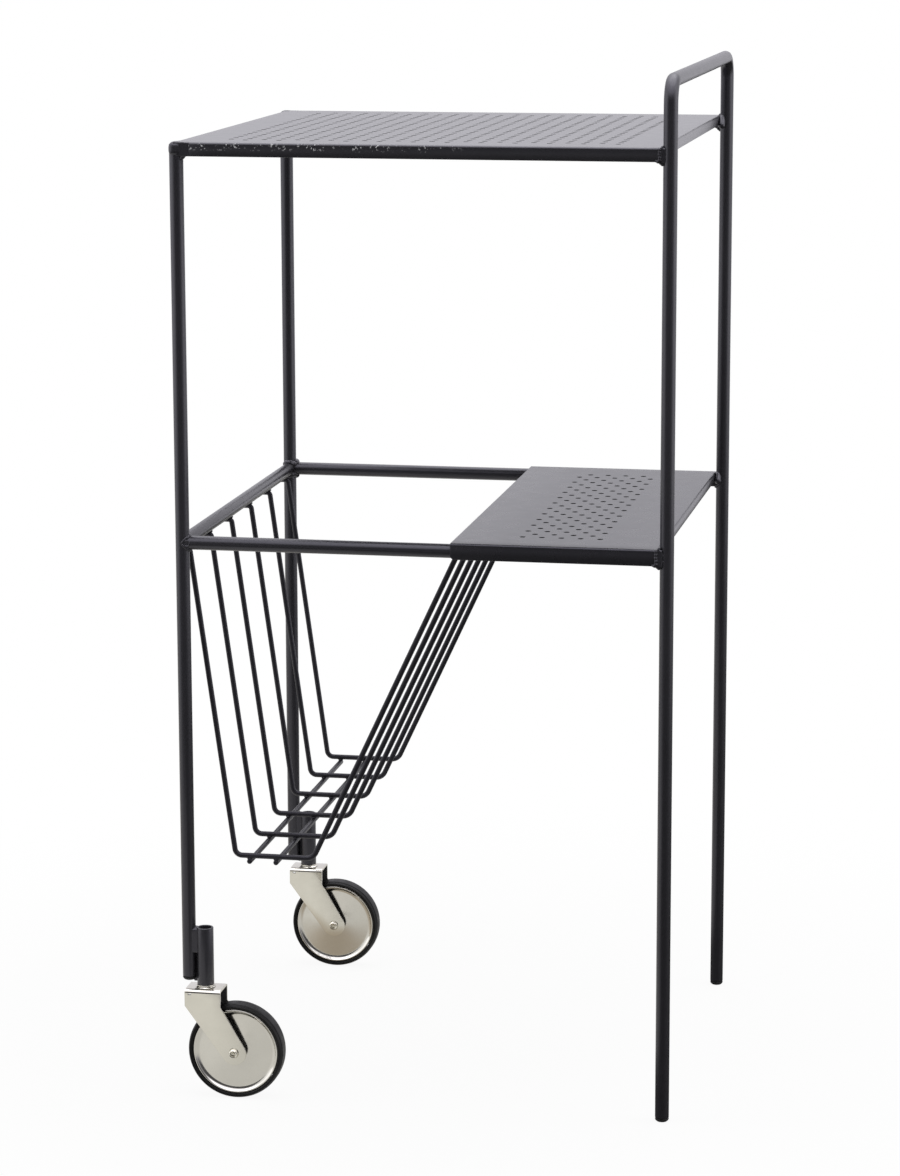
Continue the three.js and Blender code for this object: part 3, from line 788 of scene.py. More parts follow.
def caster_web():
    """The weld that fills the gap between post and socket, with a thin run down its rear side."""
    low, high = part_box("front_caster_web")
    centre = middle("front_caster_web")
    width = high.y - low.y
    fused_in = 3 * MM
    run_low = SOCKET_LOW.z + 3 * MM
    run_w = 6 * MM
    run_overlap = 4 * MM
    run_centre = Vector((centre.x, FRONT_Y + width / 3, (run_low + low.z) / 2))
    run_size = Vector((run_w, width / 3, low.z - run_low + run_overlap))
    web_size = Vector((high.x - low.x + fused_in, width, high.z - low.z))
    lumps = [
        lump_block(centre, web_size, rounding=1.4 * MM),
        lump_block(run_centre, run_size, rounding=0.8 * MM),
        lump_ball(centre + UP * (high.z - centre.z), radius=2.4 * MM, stretch=(1.3, 1.6, 0.7)),
    ]
    return fused("front_socket_weld", lumps, smoothing=8)


def stem_pin():
    """The pin in the socket, with a collar under the socket and a riveted foot inside the fork."""
    low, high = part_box("front_caster_stem")
    stem = PIVOT_HOLE_R - FIT_GAP
    collar = 7.5 * MM
    collar_high = SOCKET_LOW.z - FIT_GAP
    collar_low = collar_high - 0.7 * MM
    rivet = 6.5 * MM
    rivet_top = FORK_TOP - FORK_T - FIT_GAP
    outline = [
        (0, low.z),
        (rivet, low.z),
        (rivet, rivet_top),
        (stem, rivet_top),
        (stem, collar_low),
        (collar, collar_low),
        (collar, collar_high),
        (stem, collar_high),
        (stem, high.z),
        (0, high.z),
    ]
    piece = turned("front_stem_pin", outline, SWIVEL, UP, TURNED_STEPS)
    soften(piece, width=0.25 * MM, segments=3)
    return piece


def race_ring():
    low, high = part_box("front_swivel_race")
    radius = (high.x - low.x) / 2
    edge = 0.15 * MM
    slope = 1.2 * MM
    outline = [
        (PIVOT_HOLE_R, low.z),
        (radius, low.z),
        (radius, low.z + edge),
        (radius - slope, high.z),
        (PIVOT_HOLE_R, high.z),
        (PIVOT_HOLE_R, low.z),
    ]
    piece = turned("front_race_ring", outline, SWIVEL, UP, TURNED_STEPS)
    soften(piece, width=0.1 * MM, segments=2, angle=20)
    return piece


def touch_angle(corner, side):
    """The angle, about the axle, where a line from the corner touches the round end."""
    away = Vector((AXLE.x - corner.x, AXLE.z - corner.z))
    return math.atan2(away.y, away.x) + side * (math.asin(FORK_END_R / away.length) + math.pi / 2)


def fork_pressing():
    """A strip folded into two cheeks, which narrow to a round end at the axle."""
    width = extent("front_fork").y
    shoulder = FORK_TOP - FORK_CHEEK_H
    left = SWIVEL + Vector((-FORK_L / 2, 0, shoulder))
    right = SWIVEL + Vector((FORK_L / 2, 0, shoulder))
    enter = touch_angle(left, -1)
    leave = touch_angle(right, 1)
    round_end = (leave - enter) % (2 * math.pi)

    def on_end(angle):
        return Vector((AXLE.x + FORK_END_R * math.cos(angle), AXLE.y, AXLE.z + FORK_END_R * math.sin(angle)))

    begin()
    bpy.ops.mesh.primitive_cube_add(size=1, location=SWIVEL + UP * (FORK_TOP + shoulder) / 2)
    bpy.context.object.scale = (FORK_L, width, FORK_CHEEK_H)
    piece = settle("front_fork_pressing")
    edit()
    pick("FACE", lambda face: face.normal.z < -FACING or abs(face.normal.x) > FACING)
    bpy.ops.mesh.delete(type="FACE")

    # The cheeks: extruded down a little, then drawn out to the axle
    pick("EDGE", lambda edge: all(v.co.z < shoulder + NEAR for v in edge.verts))
    first_step = 5 * MM
    extrude(DOWN * first_step)
    bpy.ops.mesh.subdivide(number_cuts=1)
    lower = shoulder - first_step
    goals = [(left.x, on_end(enter)), (SWIVEL.x, AXLE), (right.x, on_end(leave))]
    for x, goal in goals:
        pick("VERT", lambda v: abs(v.co.z - lower) < NEAR and abs(v.co.x - x) < NEAR)
        shift((goal.x - x, 0, goal.z - lower))

    # The round end: the edge from the axle to the left side, spun about the axle
    spoke = (AXLE + on_end(enter)) / 2
    pick("EDGE", lambda e: math.hypot(centre_of(e).x - spoke.x, centre_of(e).z - spoke.z) < NEAR)
    spin(round_end, 2 * BEND_STEPS, AXLE, OUTWARD)
    bpy.ops.mesh.select_all(action="SELECT")
    bpy.ops.mesh.remove_doubles(threshold=MERGE)
    bpy.ops.mesh.normals_make_consistent(inside=False)

    # The folds along the bridge, the sheet's thickness, the pivot hole and the slot
    pick("EDGE", lambda e: all(v.co.z > FORK_TOP - NEAR for v in e.verts)
         and abs(e.verts[0].co.y - e.verts[1].co.y) < NEAR)
    bpy.ops.mesh.bevel(offset=FORK_FOLD_R, segments=6, affect="EDGES")
    bpy.ops.object.mode_set(mode="OBJECT")
    apply_modifier(piece, "SOLIDIFY", thickness=FORK_T, offset=-1, use_even_offset=True)
    soften(piece, width=0.35 * MM, segments=3, angle=50)
    cut(piece, pivot_drill())
    cut(piece, slot_punch(width / 2))
    return piece


def pivot_drill():
    begin()
    bpy.ops.mesh.primitive_cylinder_add(vertices=TURNED_STEPS, radius=PIVOT_HOLE_R, depth=4 * FORK_T,
                                        location=SWIVEL + UP * FORK_TOP)
    return settle("pivot_drill")


def slot_punch(reach):
    """Cuts the short slot in the outer cheek, near its upper left corner."""
    begin()
    place = SWIVEL + OUTWARD * reach + Vector((-FORK_SLOT_ASIDE, 0, FORK_TOP - FORK_SLOT_DROP))
    bpy.ops.mesh.primitive_cube_add(size=1, location=place)
    bpy.context.object.scale = (FORK_SLOT_L, 3 * FORK_T, FORK_SLOT_H)
    return settle("slot_punch")


def axle_rivet():
    """The axle, with a flanged head whose rolled rim runs round a dimple with a raised middle."""
    low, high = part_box("front_axle")
    seat = extent("front_fork").y / 2
    head_top = AXLE.y - low.y
    stub = AXLE.y - high.y
    under_head = seat + 0.1 * MM
    chamfer = 0.5 * MM
    outline = [
        (0, stub),
        (AXLE_R - chamfer, stub),
        (AXLE_R, stub + chamfer),
        (AXLE_R, under_head),
    ]

    # The head's flange: radius and height over its underside, in millimetres
    flange = ((4.1, 0), (4.3, 0.6), (4.1, 1.5))
    outline += [(radius * MM, under_head + height * MM) for radius, height in flange]

    # The head's face: radius and depth under its highest ring, in millimetres
    face = ((3.6, 0.4), (3, 0), (2.4, 0.2), (2, 0.9), (1.8, 1.8), (1.3, 1.9), (1, 1.1), (0.6, 0.7), (0, 0.6))
    outline += [(radius * MM, head_top - depth * MM) for radius, depth in face]
    return turned("front_axle_rivet", outline, AXLE, OUTWARD, TURNED_STEPS)


def axle_hex_nut():
    size = extent("front_axle_nut")
    begin()
    bpy.ops.mesh.primitive_cylinder_add(vertices=6, radius=size.x / 2, depth=size.y,
                                        location=middle("front_axle_nut"),
                                        rotation=(math.pi / 2, math.pi / 6, 0))
    piece = settle("front_axle_hex_nut")
    soften(piece, width=0.5 * MM)
    return piece


def wheel_disc(name, facing):
    """A pressed disc: a flat web, a slope up to the rolled rim and half of the tyre's seat."""
    rim = extent("front_outer_disc").x / 2
    bore = extent("front_hub_bush").x / 2 + FIT_GAP
    bore_slope = 2.4 * MM
    bore_collar = 0.7 * MM
    web_depth = 2.2 * MM
    web = RIM_FACE - web_depth
    web_edge = rim - 5.3 * MM
    thick = 1.2 * MM
    inner_web_edge = rim - 5.4 * MM
    inner_slope_top = rim - 1.5 * MM
    outline = [
        (bore, web - thick),
        (inner_web_edge, web - thick),
        (inner_slope_top, RIM_FACE - 1.2 * thick),
        (rim - thick, RIM_FACE - 2 * thick),
        (rim - thick, FIT_GAP / 2),
        (rim, FIT_GAP / 2),
    ]

    # The rolled rim and the slope: in from the edge and down from the rim's face, in millimetres
    rolled = ((0, 0.8), (0.12, 0.35), (0.45, 0.06), (0.8, 0), (1.2, 0.12), (2.1, 0.98), (2.7, 1.4),
              (4, 1.96), (4.8, 2.16))
    outline += [(rim - inward * MM, RIM_FACE - depth * MM) for inward, depth in rolled]
    outline += [
        (web_edge, web),
        (bore + bore_slope, web),
        (bore, web + bore_collar),
        (bore, web - thick),
    ]
    return turned(name, outline, AXLE, facing, WHEEL_STEPS)


def outer_wheel_disc():
    return wheel_disc("front_outer_wheel_disc", OUTWARD)


def inner_wheel_disc():
    return wheel_disc("front_inner_wheel_disc", REARWARD)


def tyre_tread():
    """A flat-crowned tread with a shallow groove along each shoulder."""
    radius = extent("front_tyre").x / 2
    half = extent("front_tyre").y / 2
    seat = extent("front_outer_disc").x / 2 + FIT_GAP
    wall = seat + 0.9 * MM
    wall_half = half - 0.5 * MM
    crown = 1.8 * MM
    groove_depth = 0.55 * MM
    steps = 32
    grooves = (5, steps - 5)
    outline = [(seat, -RIM_FACE), (wall, -wall_half)]
    for step in range(steps + 1):
        across = 2 * step / steps - 1
        groove = groove_depth if step in grooves else 0
        outline.append((radius - crown * across ** 4 - groove, across * half))
    outline += [(wall, wall_half), (seat, RIM_FACE), (seat, -RIM_FACE)]
    return turned("front_tyre_tread", outline, AXLE, OUTWARD, WHEEL_STEPS)


def hub_sleeve():
    radius = extent("front_hub_bush").x / 2
    half = extent("front_hub_bush").y / 2
    bore = AXLE_R + FIT_GAP
    outline = [(bore, -half), (radius, -half), (radius, half), (bore, half), (bore, -half)]
    piece = turned("front_hub_sleeve", outline, AXLE, OUTWARD, TURNED_STEPS)
    soften(piece, width=0.4 * MM)
    return piece


# Shader nodes

FADE_IN = (0, 1)
FADE_OUT = (1, 0)


class Wiring:
    """The shader nodes of a finish, of the floor or of the world, and the links between them."""

    def __init__(self, owner):
        owner.use_nodes = True
        self.nodes = owner.node_tree.nodes
        self.links = owner.node_tree.links
        self.place = self.add("TexCoord").outputs

    def add(self, kind, **settings):
        node = self.nodes.new("ShaderNode" + kind)
        for setting, value in settings.items():
            setattr(node, setting, value)
        return node

    def feed(self, socket, value):
        """Sets a socket to a number or a colour, or links it to another node's output."""
        if isinstance(value, tuple):
            socket.default_value = (*value, 1)
        elif isinstance(value, (int, float)):
            socket.default_value = value
        else:
            self.links.new(value, socket)

    def axes(self, place):
        node = self.add("SeparateXYZ")
        self.feed(node.inputs["Vector"], place)
        return node.outputs

    def noise(self, scale, detail):
        """Cloudy values about one half, with roughly as many clouds to the metre as the scale says."""
        node = self.add("TexNoise")
        self.feed(node.inputs["Vector"], self.place["Object"])
        self.feed(node.inputs["Scale"], scale)
        self.feed(node.inputs["Detail"], detail)
        return node.outputs["Fac"]

    def spread(self, source, over, gives):
        """Maps one stretch of values to another, smoothly and held at the ends."""
        node = self.add("MapRange", interpolation_type="SMOOTHSTEP")
        self.feed(node.inputs["Value"], source)
        for socket, value in zip(("From Min", "From Max", "To Min", "To Max"), (*over, *gives)):
            self.feed(node.inputs[socket], value)
        return node.outputs["Result"]

    def combine(self, operation, *values):
        result = values[0]
        for value in values[1:]:
            node = self.add("Math", operation=operation)
            self.feed(node.inputs[0], result)
            self.feed(node.inputs[1], value)
            result = node.outputs["Value"]
        return result

    def product(self, *factors):
        return self.combine("MULTIPLY", *factors)

    def mix(self, kind, factor, first, second):
        node = self.add("Mix", data_type=kind)
        self.feed(node.inputs["Factor"], factor)
        self.feed(node.inputs["A"], first)
        self.feed(node.inputs["B"], second)
        return node.outputs["Result"]

    def level(self, factor, off, on):
        """One strength or the other, as the factor says."""
        return self.mix("FLOAT", factor, off, on)

    def colour(self, factor, first, second):
        """One colour or the other, as the factor says."""
        return self.mix("RGBA", factor, first, second)

    def stack(self, factor, first, second):
        """One surface or the other, as the factor says."""
        node = self.add("MixShader")
        self.feed(node.inputs["Fac"], factor)
        self.feed(node.inputs[1], first)
        self.feed(node.inputs[2], second)
        return node.outputs["Shader"]

    def bump(self, height, strength, depth):
        node = self.add("Bump")
        self.feed(node.inputs["Strength"], strength)
        self.feed(node.inputs["Distance"], depth)
        self.feed(node.inputs["Height"], height)
        return node.outputs["Normal"]


# Finishes

COAT_DARK = (0.0094, 0.0091, 0.0108)
COAT_LIGHT = (0.0150, 0.0146, 0.0167)
COAT_SHEEN = (0.88, 0.86, 1)
CHIPPED = (0.50, 0.50, 0.51)

# The stretch that most of a noise's values lie in
CLOUDS = (0.3, 0.7)

# Where the top's front lip is chipped, with the fade at each edge
CHIPS_Y = (TOP_LOW.y + 0.6 * MM, TOP_LOW.y + 1.2 * MM)
CHIPS_Z = (TOP_HIGH.z - 7 * MM, TOP_HIGH.z - 4 * MM)
CHIPS_X = (-10 * MM, 50 * MM)


def powder_coat(name, gloss, rough=0.355, shine=0.5, chipped=False):
    """Satin black powder coat: fine orange peel, slight drift of tone and, on the top, chips."""
    finish = bpy.data.materials.new(name)
    wiring = Wiring(finish)
    shader = wiring.nodes["Principled BSDF"].inputs
    colour = wiring.colour(wiring.noise(scale=22, detail=4), COAT_DARK, COAT_LIGHT)
    if chipped:
        colour = wiring.colour(chip_mask(wiring), colour, CHIPPED)
    patches = wiring.noise(scale=70, detail=5)
    peel = wiring.noise(scale=850, detail=2)
    wiring.feed(shader["Base Color"], colour)
    wiring.feed(shader["Roughness"], wiring.spread(patches, CLOUDS, (rough - 0.01, rough + 0.01)))
    wiring.feed(shader["Normal"], wiring.bump(peel, strength=0.04, depth=0.12 * MM))
    wiring.feed(shader["Specular IOR Level"], shine)
    wiring.feed(shader["Specular Tint"], COAT_SHEEN)
    wiring.feed(shader["Coat Weight"], gloss)
    wiring.feed(shader["Coat Roughness"], 0.25)
    return finish


def chip_mask(wiring):
    """Chips along the upper half of the front lip, on its left part."""
    axes = wiring.axes(wiring.place["Object"])
    on_front = wiring.spread(axes["Y"], CHIPS_Y, FADE_OUT)
    high_up = wiring.spread(axes["Z"], CHIPS_Z, FADE_IN)
    to_left = wiring.spread(axes["X"], CHIPS_X, FADE_OUT)
    chips = wiring.spread(wiring.noise(scale=620, detail=4), (0.60, 0.64), FADE_IN)
    crowded = wiring.spread(wiring.noise(scale=75, detail=2), (0.42, 0.54), FADE_IN)
    return wiring.product(chips, crowded, on_front, high_up, to_left)


def nickel_plate(name, dull, bright):
    """Satin nickel over pressed steel: faint yellow cast, cloudy polish."""
    finish = bpy.data.materials.new(name)
    wiring = Wiring(finish)
    shader = wiring.nodes["Principled BSDF"].inputs
    polish = wiring.noise(scale=160, detail=5)
    grain = wiring.noise(scale=1400, detail=2)
    wiring.feed(shader["Base Color"], wiring.colour(wiring.noise(scale=45, detail=4), dull, bright))
    wiring.feed(shader["Roughness"], wiring.spread(polish, CLOUDS, (0.11, 0.18)))
    wiring.feed(shader["Normal"], wiring.bump(grain, strength=0.03, depth=0.05 * MM))
    wiring.feed(shader["Metallic"], 1)
    return finish


def dull_black(name, dark, light, rough, grain_scale, grain_depth):
    """Rubber, plastic, or painted shade in the sheets' holes and inside the forks: matt and dark, with a
    fine grain.
    """
    finish = bpy.data.materials.new(name)
    wiring = Wiring(finish)
    shader = wiring.nodes["Principled BSDF"].inputs
    drift = wiring.noise(scale=60, detail=4)
    patches = wiring.noise(scale=140, detail=4)
    grain = wiring.noise(scale=grain_scale, detail=3)
    wiring.feed(shader["Base Color"], wiring.colour(drift, (dark, dark, dark), (light, light, light)))
    wiring.feed(shader["Roughness"], wiring.spread(patches, CLOUDS, (rough - 0.06, rough + 0.08)))
    wiring.feed(shader["Normal"], wiring.bump(grain, strength=0.15, depth=grain_depth))
    wiring.feed(shader["Specular IOR Level"], 0.15)
    return finish


black_powder = powder_coat("black_powder_coat", gloss=0.25)
shelf_powder = powder_coat("shelf_black_powder_coat", gloss=0.1, rough=0.28)
chipped_powder = powder_coat("scuffed_black_powder_coat", gloss=0.5, rough=0.33, chipped=True)
wire_powder = powder_coat("trough_black_powder_coat", gloss=0.0, shine=0.3)
# Painted shade: the walls of the holes are made near black for the shade inside them, though the coat there
# is the sheet's own.
painted_hole_shade = dull_black("painted_shade_hole_wall", dark=0.002, light=0.004, rough=0.8,
                       grain_scale=900, grain_depth=0.02 * MM)
# Painted shade: the fork's inner faces are made dark for the shade inside the fork.
fork_inside_shade = dull_black("unpolished_fork_inside", dark=0.03, light=0.06, rough=0.6,
                        grain_scale=600, grain_depth=0.05 * MM)
rubber = dull_black("black_rubber_tyre", dark=0.003, light=0.007, rough=0.45,
                    grain_scale=900, grain_depth=0.1 * MM)
plastic = dull_black("black_foot_plastic", dark=0.012, light=0.019, rough=0.45,
                     grain_scale=1200, grain_depth=0.05 * MM)
nickel = nickel_plate("satin_nickel_plate", dull=(0.61, 0.590, 0.525), bright=(0.71, 0.688, 0.615))
disc_nickel = nickel_plate("satin_nickel_wheel_disc", dull=(0.57, 0.554, 0.507), bright=(0.67, 0.652, 0.600))


# The camera, found from the photograph's uprights, rails and sheets

IMAGE_HEIGHT = 1176
SENSOR = 36
FOCAL_PIXELS = 3677.03
CAMERA_PLACE = Vector((572.6, -3078.1, 1018.8)) * MM
CAMERA_YAW = math.radians(10.782)
CAMERA_PITCH = math.radians(11.085)
CAMERA_ROLL = math.radians(0.143)


def set_camera():
    data = bpy.data.cameras.new("photo_camera")
    data.sensor_width = SENSOR
    data.lens = FOCAL_PIXELS * SENSOR / IMAGE_HEIGHT
    camera = bpy.data.objects.new("photo_camera", data)
    bpy.context.scene.collection.objects.link(camera)
    look = Matrix.Rotation(CAMERA_YAW, 4, "Z") @ Matrix.Rotation(math.pi / 2 - CAMERA_PITCH, 4, "X")
    camera.matrix_world = Matrix.Translation(CAMERA_PLACE) @ look @ Matrix.Rotation(-CAMERA_ROLL, 4, "Z")
    bpy.context.scene.camera = camera


# Studio light

LAMP_TARGET = Vector((0, 0, 0.5))
WHITE_LEVEL = 1.0
WHITE = (1, 1, 1)
FILL_LEVEL = 0.55

# What mirrors see round the cart: levels and tints, and the stretches of the direction's Z, or of
# its Y from front to back, over which they change
FRONT_LEVELS = (0.5, 0.09)
SIDE_LEVEL = 0.95
BACK_LEVELS = (0.05, 0.95)
OVERHEAD_LEVEL = 2.4
LOW_SHARE = (0.1, 1)
LOW_CAST = (1, 0.985, 0.9)
HIGH_CAST = (0.95, 0.938, 1)
FRONT_RISE = (-0.16, 0.0)
SIDE_RISE = (-0.30, -0.16)
BACK_RISE = (-0.27, -0.15)
CAST_RISE = (-0.32, -0.16)
OVERHEAD_RISE = (0.4, 0.7)
FRONT_TO_SIDES = (-0.9, 0.0)
SIDES_TO_BACK = (0.1, 0.6)

# The floor, and the places where it fades in or out of mirrors
FLOOR_SIZE = 7
FLOOR_DROP = 0.05 * MM
FLOOR_PAINT = (0.9, 0.9, 0.9)
FLOOR_GLOW = (0.9, 0.89, 0.86)
# Painted shadow: the darker, warm glow that mirrors see on the floor before the rear caster, for the cart's
# shadow there
FLOOR_PAINTED_SHADOW_GLOW = (0.56, 0.49, 0.40)
SHADOW_REACH = (0.3, 0.9)
WHITENESS = (0.92, 1.0)
STRIP_X = (-0.15, -0.11)
STRIP_Y = (-0.85, -0.7)
UNDER_CART_X = (0.06, 0.12)
UNDER_CART_Y = (-0.42, -0.34)
PAINTED_SHADOW_FRONT_Y = (0.02, 0.14)
PAINTED_SHADOW_REAR_Y = (0.19, 0.23)
GLOW_X = (-0.24, -0.16)
GLOW_LEVELS = (1, 0.86)


def set_lamp(name, place, width, height, power):
    data = bpy.data.lights.new(name, "AREA")
    data.shape = "RECTANGLE"
    data.size = width
    data.size_y = height
    data.energy = power
    lamp = bpy.data.objects.new(name, data)
    bpy.context.scene.collection.objects.link(lamp)
    lamp.location = place
    lamp.rotation_euler = (LAMP_TARGET - Vector(place)).to_track_quat("-Z", "Y").to_euler()


def set_world():
    """White to the camera, in reflections bright at the sides and above, and an even fill for the rest."""
    world = bpy.data.worlds.new("studio")
    bpy.context.scene.world = world
    wiring = Wiring(world)
    backdrop = wiring.nodes["Background"].inputs
    ray = wiring.add("LightPath").outputs
    towards = wiring.axes(wiring.place["Generated"])

    # What mirrors see in each direction: the front, the sides, the back and overhead
    front = wiring.spread(towards["Z"], FRONT_RISE, FRONT_LEVELS)
    aside = wiring.spread(towards["Y"], FRONT_TO_SIDES, FADE_IN)
    off_floor = wiring.spread(towards["Z"], SIDE_RISE, LOW_SHARE)
    sides = wiring.product(wiring.level(aside, front, SIDE_LEVEL), off_floor)
    back = wiring.spread(towards["Z"], BACK_RISE, BACK_LEVELS)
    behind = wiring.spread(towards["Y"], SIDES_TO_BACK, FADE_IN)
    all_round = wiring.level(behind, sides, back)
    overhead = wiring.spread(towards["Z"], OVERHEAD_RISE, FADE_IN)
    mirrored = wiring.level(overhead, all_round, OVERHEAD_LEVEL)

    lit = wiring.level(ray["Is Glossy Ray"], FILL_LEVEL, mirrored)
    shown = wiring.level(ray["Is Camera Ray"], lit, WHITE_LEVEL)
    wiring.feed(backdrop["Strength"], wiring.level(ray["Is Transmission Ray"], shown, WHITE_LEVEL))
    raised = wiring.spread(towards["Z"], CAST_RISE, FADE_IN)
    cast = wiring.colour(raised, LOW_CAST, HIGH_CAST)
    wiring.feed(backdrop["Color"], wiring.colour(ray["Is Glossy Ray"], WHITE, cast))


def set_floor():
    """A pale floor that keeps a faint shadow and shows in mirrors only beside and under the cart."""
    begin()
    bpy.ops.mesh.primitive_plane_add(size=FLOOR_SIZE, location=(0, 0, cad_box[0].z - FLOOR_DROP))
    floor = settle("floor")
    finish = bpy.data.materials.new("pale_floor")
    wiring = Wiring(finish)
    wiring.nodes.remove(wiring.nodes["Principled BSDF"])
    ray = wiring.add("LightPath").outputs
    place = wiring.place["Object"]
    axes = wiring.axes(place)

    # To the camera: white, with a little of the shadow kept near the cart
    paint = wiring.add("BsdfDiffuse")
    wiring.feed(paint.inputs["Color"], FLOOR_PAINT)
    white = wiring.add("Emission")
    away = wiring.add("VectorMath", operation="LENGTH")
    wiring.feed(away.inputs[0], place)
    whiteness = wiring.spread(away.outputs["Value"], SHADOW_REACH, WHITENESS)
    seen = wiring.product(ray["Is Camera Ray"], whiteness)
    shown = wiring.stack(seen, paint.outputs["BSDF"], white.outputs["Emission"])

    # To mirrors: a strip on the left and the ground under the cart, with a painted shadow, darker and warm,
    # before the rear caster
    to_left = wiring.spread(axes["X"], STRIP_X, FADE_OUT)
    left_strip = wiring.product(to_left, wiring.spread(axes["Y"], STRIP_Y, FADE_IN))
    off_legs = wiring.spread(axes["X"], UNDER_CART_X, FADE_OUT)
    under_cart = wiring.product(off_legs, wiring.spread(axes["Y"], UNDER_CART_Y, FADE_IN))
    near = wiring.combine("MAXIMUM", left_strip, under_cart)
    to_rear = wiring.spread(axes["Y"], PAINTED_SHADOW_FRONT_Y, FADE_IN)
    before_rear = wiring.spread(axes["Y"], PAINTED_SHADOW_REAR_Y, FADE_OUT)
    painted_shadow = wiring.product(to_rear, before_rear, to_left)
    glow = wiring.add("Emission")
    wiring.feed(glow.inputs["Strength"], wiring.spread(axes["X"], GLOW_X, GLOW_LEVELS))
    wiring.feed(glow.inputs["Color"], wiring.colour(painted_shadow, FLOOR_GLOW, FLOOR_PAINTED_SHADOW_GLOW))
    gone = wiring.add("BsdfTransparent")
    mirrored = wiring.stack(near, gone.outputs["BSDF"], glow.outputs["Emission"])

    surface = wiring.stack(ray["Is Glossy Ray"], shown, mirrored)
    wiring.feed(wiring.nodes["Material Output"].inputs["Surface"], surface)
    floor.data.materials.append(finish)


# Fitting the pieces

def fit(piece, finish, body, slot, *nodes):
    """Gives the piece its finish and its body, and hides the frame nodes that it stands for."""
    take(piece)
    bpy.ops.object.shade_smooth_by_angle(angle=SMOOTH_ANGLE)
    piece.data.materials.clear()
    piece.data.materials.append(finish)
    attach(piece, body)
    if nodes:
        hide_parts(*nodes)
    return piece


def fit_black(piece, *nodes):
    return fit(piece, black_powder, "frame", "black_lacquer", *nodes)


def fit_wire(piece, *nodes):
    return fit(piece, wire_powder, "frame", "black_lacquer", *nodes)


def repaint(piece, finish, test):
    """Gives the faces that pass the test a finish of their own."""
    piece.data.materials.append(finish)
    for face in piece.data.polygons:
        if test(face):
            face.material_index = 1


def paint_hole_shade(sheet):
    """Gives the walls of the sheet's holes a near-black finish: painted shade inside the holes."""
    low, high = (Vector(corner) for corner in (sheet.bound_box[0], sheet.bound_box[6]))
    margin = 20 * MM

    def hole_face_in_painted_shade(face):
        inside = all(low[axis] + margin < face.center[axis] < high[axis] - margin for axis in (X, Y))
        return inside and abs(face.normal.z) < FACING

    repaint(sheet, painted_hole_shade, hole_face_in_painted_shade)


def paint_fork_inside_shade(fork, axis_y):
    """Gives the inner faces of the fork a dark, matt finish: painted shade inside the fork."""
    within_sheet = 0.6 * FORK_T
    reach = extent("front_fork").y / 2 - within_sheet

    def inner_face(face):
        return abs(face.center.y - axis_y) < reach and face.center.z < FORK_TOP - within_sheet

    repaint(fork, fork_inside_shade, inner_face)


# The cart put together

set_camera()

for post in ("front_left_post", "rear_left_post"):
    fit_black(left_post(post + "_tube", post), post)
fit_black(handle_and_legs(), "handle_leg_tube")
for foot in ("front_left_post_plug", "rear_left_post_plug", "front_leg_glide", "rear_leg_glide"):
    fit(tube_foot(foot + "_moulding", foot), plastic, "frame", "black_plastic", foot)

front_left = Vector((LEFT_X, FRONT_Y, RAIL_Z))
rear_left = Vector((LEFT_X, REAR_Y, RAIL_Z))
front_right = Vector((RIGHT_X, FRONT_Y, RAIL_Z))
rear_right = Vector((RIGHT_X, REAR_Y, RAIL_Z))
cross_front = Vector((CROSS_X, FRONT_Y, RAIL_Z))
cross_rear = Vector((CROSS_X, REAR_Y, RAIL_Z))
fit_black(rail("left_rail_tube", front_left, rear_left), "left_rail")
fit_black(rail("front_rail_tube", front_left, front_right), "front_rail")
fit_black(rail("rear_rail_tube", rear_left, rear_right), "rear_rail")
fit_black(rail("cross_rail_tube", cross_front, cross_rear), "shelf_cross_rail")

paint_hole_shade(fit(top_sheet(), chipped_powder, "frame", "black_lacquer", "top_tray"))
paint_hole_shade(fit(shelf_sheet(), shelf_powder, "frame", "black_lacquer", "half_shelf"))

wires = [trough_wire("trough_wire_1", "basket_wire_1")]
for number in range(2, WIRE_COUNT + 1):
    wires.append(copy_of(wires[0], f"trough_wire_{number}", WIRE_STEP * (number - 1)))
for number, wire in enumerate(wires, 1):
    fit_wire(wire, f"basket_wire_{number}")
for side in ("left", "right"):
    runner = f"basket_runner_{side}"
    fit_wire(trough_runner(f"trough_runner_{side}", runner), runner)
    fit_wire(runner_spots(f"runner_weld_spots_{side}", runner))
fit_wire(hook_spots("hook_weld_spots"))
fit_wire(wire_end_spots("wire_end_weld_spots"))

weld_end_aside = 4.8 * MM
weld_end_sunk = 0.5 * MM
weld_end = front_left + Vector((weld_end_aside, weld_end_sunk - TUBE_R, 0))
fit_black(rail_weld("weld_front_left_rails", front_left, [RIGHT, REARWARD], thick=1.9 * MM))
fit_black(weld_end_ring("weld_end_front_left", weld_end))
fit_black(rail_weld("weld_rear_left_rails", rear_left, [RIGHT, OUTWARD], thick=3.1 * MM))
fit_black(rail_weld("weld_front_right_rail", front_right, [-RIGHT], thick=1.1 * MM))
fit_black(rail_weld("weld_rear_right_rail", rear_right, [-RIGHT], thick=1.6 * MM))
fit_black(rail_weld("weld_front_cross_rail", cross_front, [REARWARD], thick=1.6 * MM, axis=RIGHT))
fit_black(rail_weld("weld_rear_cross_rail", cross_rear, [OUTWARD], thick=1.6 * MM, axis=RIGHT))
fit_black(post_knob("front_post_knob", FRONT_Y, -1))
fit_black(post_knob("rear_post_knob", REAR_Y, 1))
fit_black(leg_weld("weld_front_leg_top", -1, TOP_HIGH.z, TOP_LOW.y, TOP_END_LIP))
fit_black(leg_weld("weld_rear_leg_top", 1, TOP_HIGH.z, TOP_HIGH.y, TOP_END_LIP))
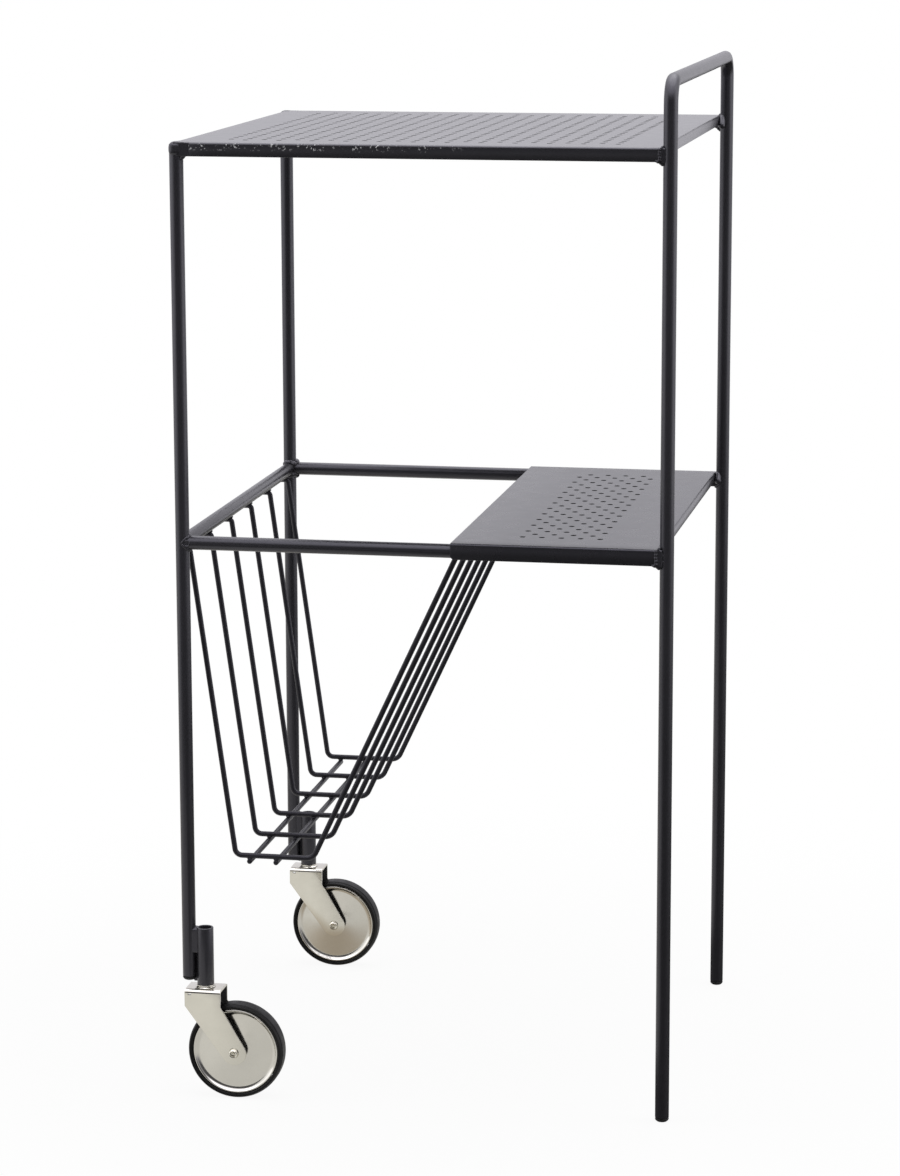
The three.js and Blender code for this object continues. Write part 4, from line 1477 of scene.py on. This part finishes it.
fit_black(leg_weld("weld_front_leg_shelf", -1, SHELF_HIGH.z, SHELF_LOW.y, SHELF_FRONT_LIP))
for leg, leg_y, outward in (("front", FRONT_Y, -1), ("rear", REAR_Y, 1)):
    for sheet, face_z, height in (("top", TOP_HIGH.z, 6.2 * MM), ("shelf", SHELF_HIGH.z, 4.5 * MM)):
        fit_black(sheet_corner_weld(f"weld_{leg}_leg_{sheet}_side", leg_y, outward, face_z, height))

CASTER_PIECES = (
    (caster_socket, black_powder, "frame", "black_lacquer", "caster_socket"),
    (caster_web, black_powder, "frame", "black_lacquer", "caster_web"),
    (stem_pin, nickel, "frame", "bright_plate", "caster_stem"),
    (race_ring, nickel, "swivel", "bright_plate", "swivel_race"),
    (fork_pressing, nickel, "swivel", "bright_plate", "fork"),
    (axle_rivet, nickel, "swivel", "bright_plate", "axle"),
    (axle_hex_nut, nickel, "swivel", "bright_plate", "axle_nut"),
    (hub_sleeve, nickel, "wheel", "bright_plate", "hub_bush"),
    (outer_wheel_disc, disc_nickel, "wheel", "bright_plate", "outer_disc"),
    (inner_wheel_disc, disc_nickel, "wheel", "bright_plate", "inner_disc"),
    (tyre_tread, rubber, "wheel", "black_rubber", "tyre"),
)
for make, finish, body, slot, node in CASTER_PIECES:
    front_piece = make()
    rear_piece = copy_of(front_piece, front_piece.name.replace("front", "rear"), TO_REAR)
    for side, piece in (("front", front_piece), ("rear", rear_piece)):
        rides = body if body == "frame" else f"{side}_{body}"
        fit(piece, finish, rides, slot, f"{side}_{node}")
paint_fork_inside_shade(bpy.data.objects["front_fork_pressing"], FRONT_Y)
paint_fork_inside_shade(bpy.data.objects["rear_fork_pressing"], REAR_Y)

set_world()
set_floor()
set_lamp("overhead", place=(0.3, 0.2, 2.9), width=2.4, height=2.4, power=30)
set_lamp("left_side", place=(-2.1, -1.0, 1.0), width=2.3, height=2.2, power=15)
set_lamp("right_side", place=(2.3, 0.1, 1.0), width=2.0, height=2.2, power=15)

bpy.context.scene.view_settings.view_transform = "Standard"
